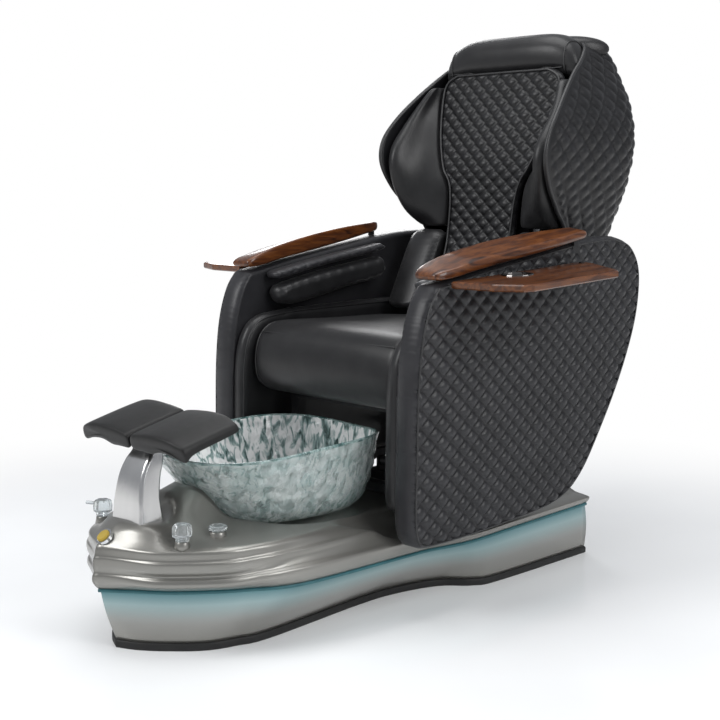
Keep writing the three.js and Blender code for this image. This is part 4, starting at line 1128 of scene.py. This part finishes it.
def head_ring(form, t, grow=0.0, samples=56):
    """A section of the pillow or the hood at a share t of its half width."""
    narrow = (1 - 0.96 * abs(t) ** 4) ** 0.7
    low = (1 - 0.96 * abs(t) ** 6) ** 0.45
    a = np.linspace(0, 2 * math.pi, samples, endpoint=False)
    c, s = np.cos(a), np.sin(a)
    depth = (form["depth"] * narrow + grow) * np.sign(c) * np.abs(c) ** 0.85
    height = (form["height"] * low + grow) * np.sign(s) * np.abs(s) ** 0.85
    x = np.full(samples, (form["half"] + grow) * t)
    y = form["y"] + form["sweep"] * t**6 + depth
    return np.column_stack([x, y, form["z"] - form["drop"] * t**6 + height])


def head_form(form):
    """Sections closer together toward the rounded ends."""
    shares = np.concatenate([np.linspace(-1, -0.9, 9), np.linspace(-0.88, 0.88, 45), np.linspace(0.9, 1, 9)])
    return [(t, head_ring(form, t)) for t in shares]


def headrest():
    """A full pillow, pinched a little where its front seam runs, with the hood behind it."""
    rings = []
    for t, ring in head_form(PILLOW):
        seam = np.exp(-(((ring[:, 2] - HEAD_SEAM_Z) / 7) ** 2)) * (ring[:, 1] < PILLOW["y"])
        ring[:, 1] += 4.5 * seam * (1 - t**8)
        rings.append(ring)
    hood = [ring for t, ring in head_form(HOOD)]
    return joined("headrest_cover", [loft("pillow", rings, LEATHER), loft("hood", hood, LEATHER)])


def headrest_cords():
    """Piping on the front seam and on both end seams."""
    across_front = []
    for t in np.linspace(-0.93, 0.93, 80):
        ring = head_ring(PILLOW, t, -1.0)
        front = ring[ring[:, 1] < PILLOW["y"]]
        across_front.append(front[np.abs(front[:, 2] - HEAD_SEAM_Z).argmin()])
    path = spline(across_front[::5], 80)
    cords = [tube("front", path, 2.2, CORD)]
    for t in (-0.86, 0.86):
        cords.append(tube("end", head_ring(PILLOW, t, 0.4), 2.4, CORD, closed=True))
    return joined("headrest_piping", cords)


trim(headrest_cords(), "back")
settle(headrest(), "back", ["headrest_pillow"])


# ---- camera, light and floor ----
camera = bpy.data.objects.new("camera", bpy.data.cameras.new("camera"))
bpy.context.scene.collection.objects.link(camera)
AZIMUTH, ELEVATION = math.radians(45.72), math.radians(7.78)
level_share = math.cos(ELEVATION)
back = Vector((math.sin(AZIMUTH) * level_share, -math.cos(AZIMUTH) * level_share, math.sin(ELEVATION)))
camera.location = (2.434, -2.289, 1.053)
camera.rotation_mode = "QUATERNION"
camera.rotation_quaternion = (-back).to_track_quat("-Z", "Y")
camera.data.lens = 65
camera.data.sensor_width = 36
bpy.context.scene.camera = camera


def soft_light(name, location, target, size, watts, color=(1, 1, 1)):
    data = bpy.data.lights.new(name, "AREA")
    data.shape = "RECTANGLE"
    data.size, data.size_y = size
    data.energy = watts
    data.color = color
    lamp = bpy.data.objects.new(name, data)
    bpy.context.scene.collection.objects.link(lamp)
    lamp.location = location
    lamp.rotation_mode = "QUATERNION"
    lamp.rotation_quaternion = (Vector(location) - Vector(target)).to_track_quat("Z", "Y")


soft_light("key", (-1.2, -3.2, 3.2), (0, 0, 0.6), (1.8, 1.8), 85)
soft_light("side", (3.6, 0.2, 2.6), (0, 0, 0.7), (1.6, 2.6), 72)
soft_light("top", (0, 0.2, 3.8), (0, 0, 0.6), (2.4, 2.4), 60)
soft_light("rim", (-2.8, 2.6, 2.2), (0, 0.5, 1.0), (1.4, 2.0), 40)


def studio():
    world = bpy.data.worlds.new("studio")
    bpy.context.scene.world = world
    world.use_nodes = True
    tree = world.node_tree
    fill, backdrop = tree.nodes["Background"], tree.nodes.new("ShaderNodeBackground")
    fill.inputs["Color"].default_value = (0.92, 0.95, 1, 1)
    fill.inputs["Strength"].default_value = 0.36
    backdrop.inputs["Color"].default_value = (1, 1, 1, 1)
    path, choose = tree.nodes.new("ShaderNodeLightPath"), tree.nodes.new("ShaderNodeMixShader")
    tree.links.new(path.outputs["Is Camera Ray"], choose.inputs[0])
    tree.links.new(fill.outputs[0], choose.inputs[1])
    tree.links.new(backdrop.outputs[0], choose.inputs[2])
    tree.links.new(choose.outputs[0], tree.nodes["World Output"].inputs["Surface"])


def floor():
    """A pale floor that keeps the contact shadow and fades into the white backdrop."""
    s = Shader("studio_floor")
    s.color(s.noise(2, 2), [(0.3, (0.80, 0.81, 0.82)), (0.7, (0.84, 0.85, 0.86))])
    s.bump(s.noise(300, 2), 0.00002, 0.1)
    s.set(Roughness=0.16, Specular_IOR_Level=0.4)
    s.surface.inputs["Emission Color"].default_value = (1, 1, 1, 1)
    s.surface.inputs["Emission Strength"].default_value = 0.16
    away = s.add("ShaderNodeVectorMath", operation="LENGTH")
    s.link(s.place, away.inputs[0])
    fade = s.add("ShaderNodeMapRange", interpolation_type="SMOOTHSTEP")
    fade.inputs["From Min"].default_value = 1.1
    fade.inputs["From Max"].default_value = 2.4
    s.link(away.outputs["Value"], fade.inputs["Value"])
    white, blended = s.add("ShaderNodeEmission"), s.add("ShaderNodeMixShader")
    s.link(fade.outputs["Result"], blended.inputs[0])
    s.link(s.surface.outputs[0], blended.inputs[1])
    s.link(white.outputs[0], blended.inputs[2])
    s.link(blended.outputs[0], s.tree.nodes["Material Output"].inputs["Surface"])
    size = 9000
    corners = [(-size, -size, 0), (size, -size, 0), (size, size, 0), (-size, size, 0)]
    make("studio_floor", corners, [(0, 1, 2, 3)], s.material)


studio()
floor()
bpy.context.scene.view_settings.view_transform = "Standard"
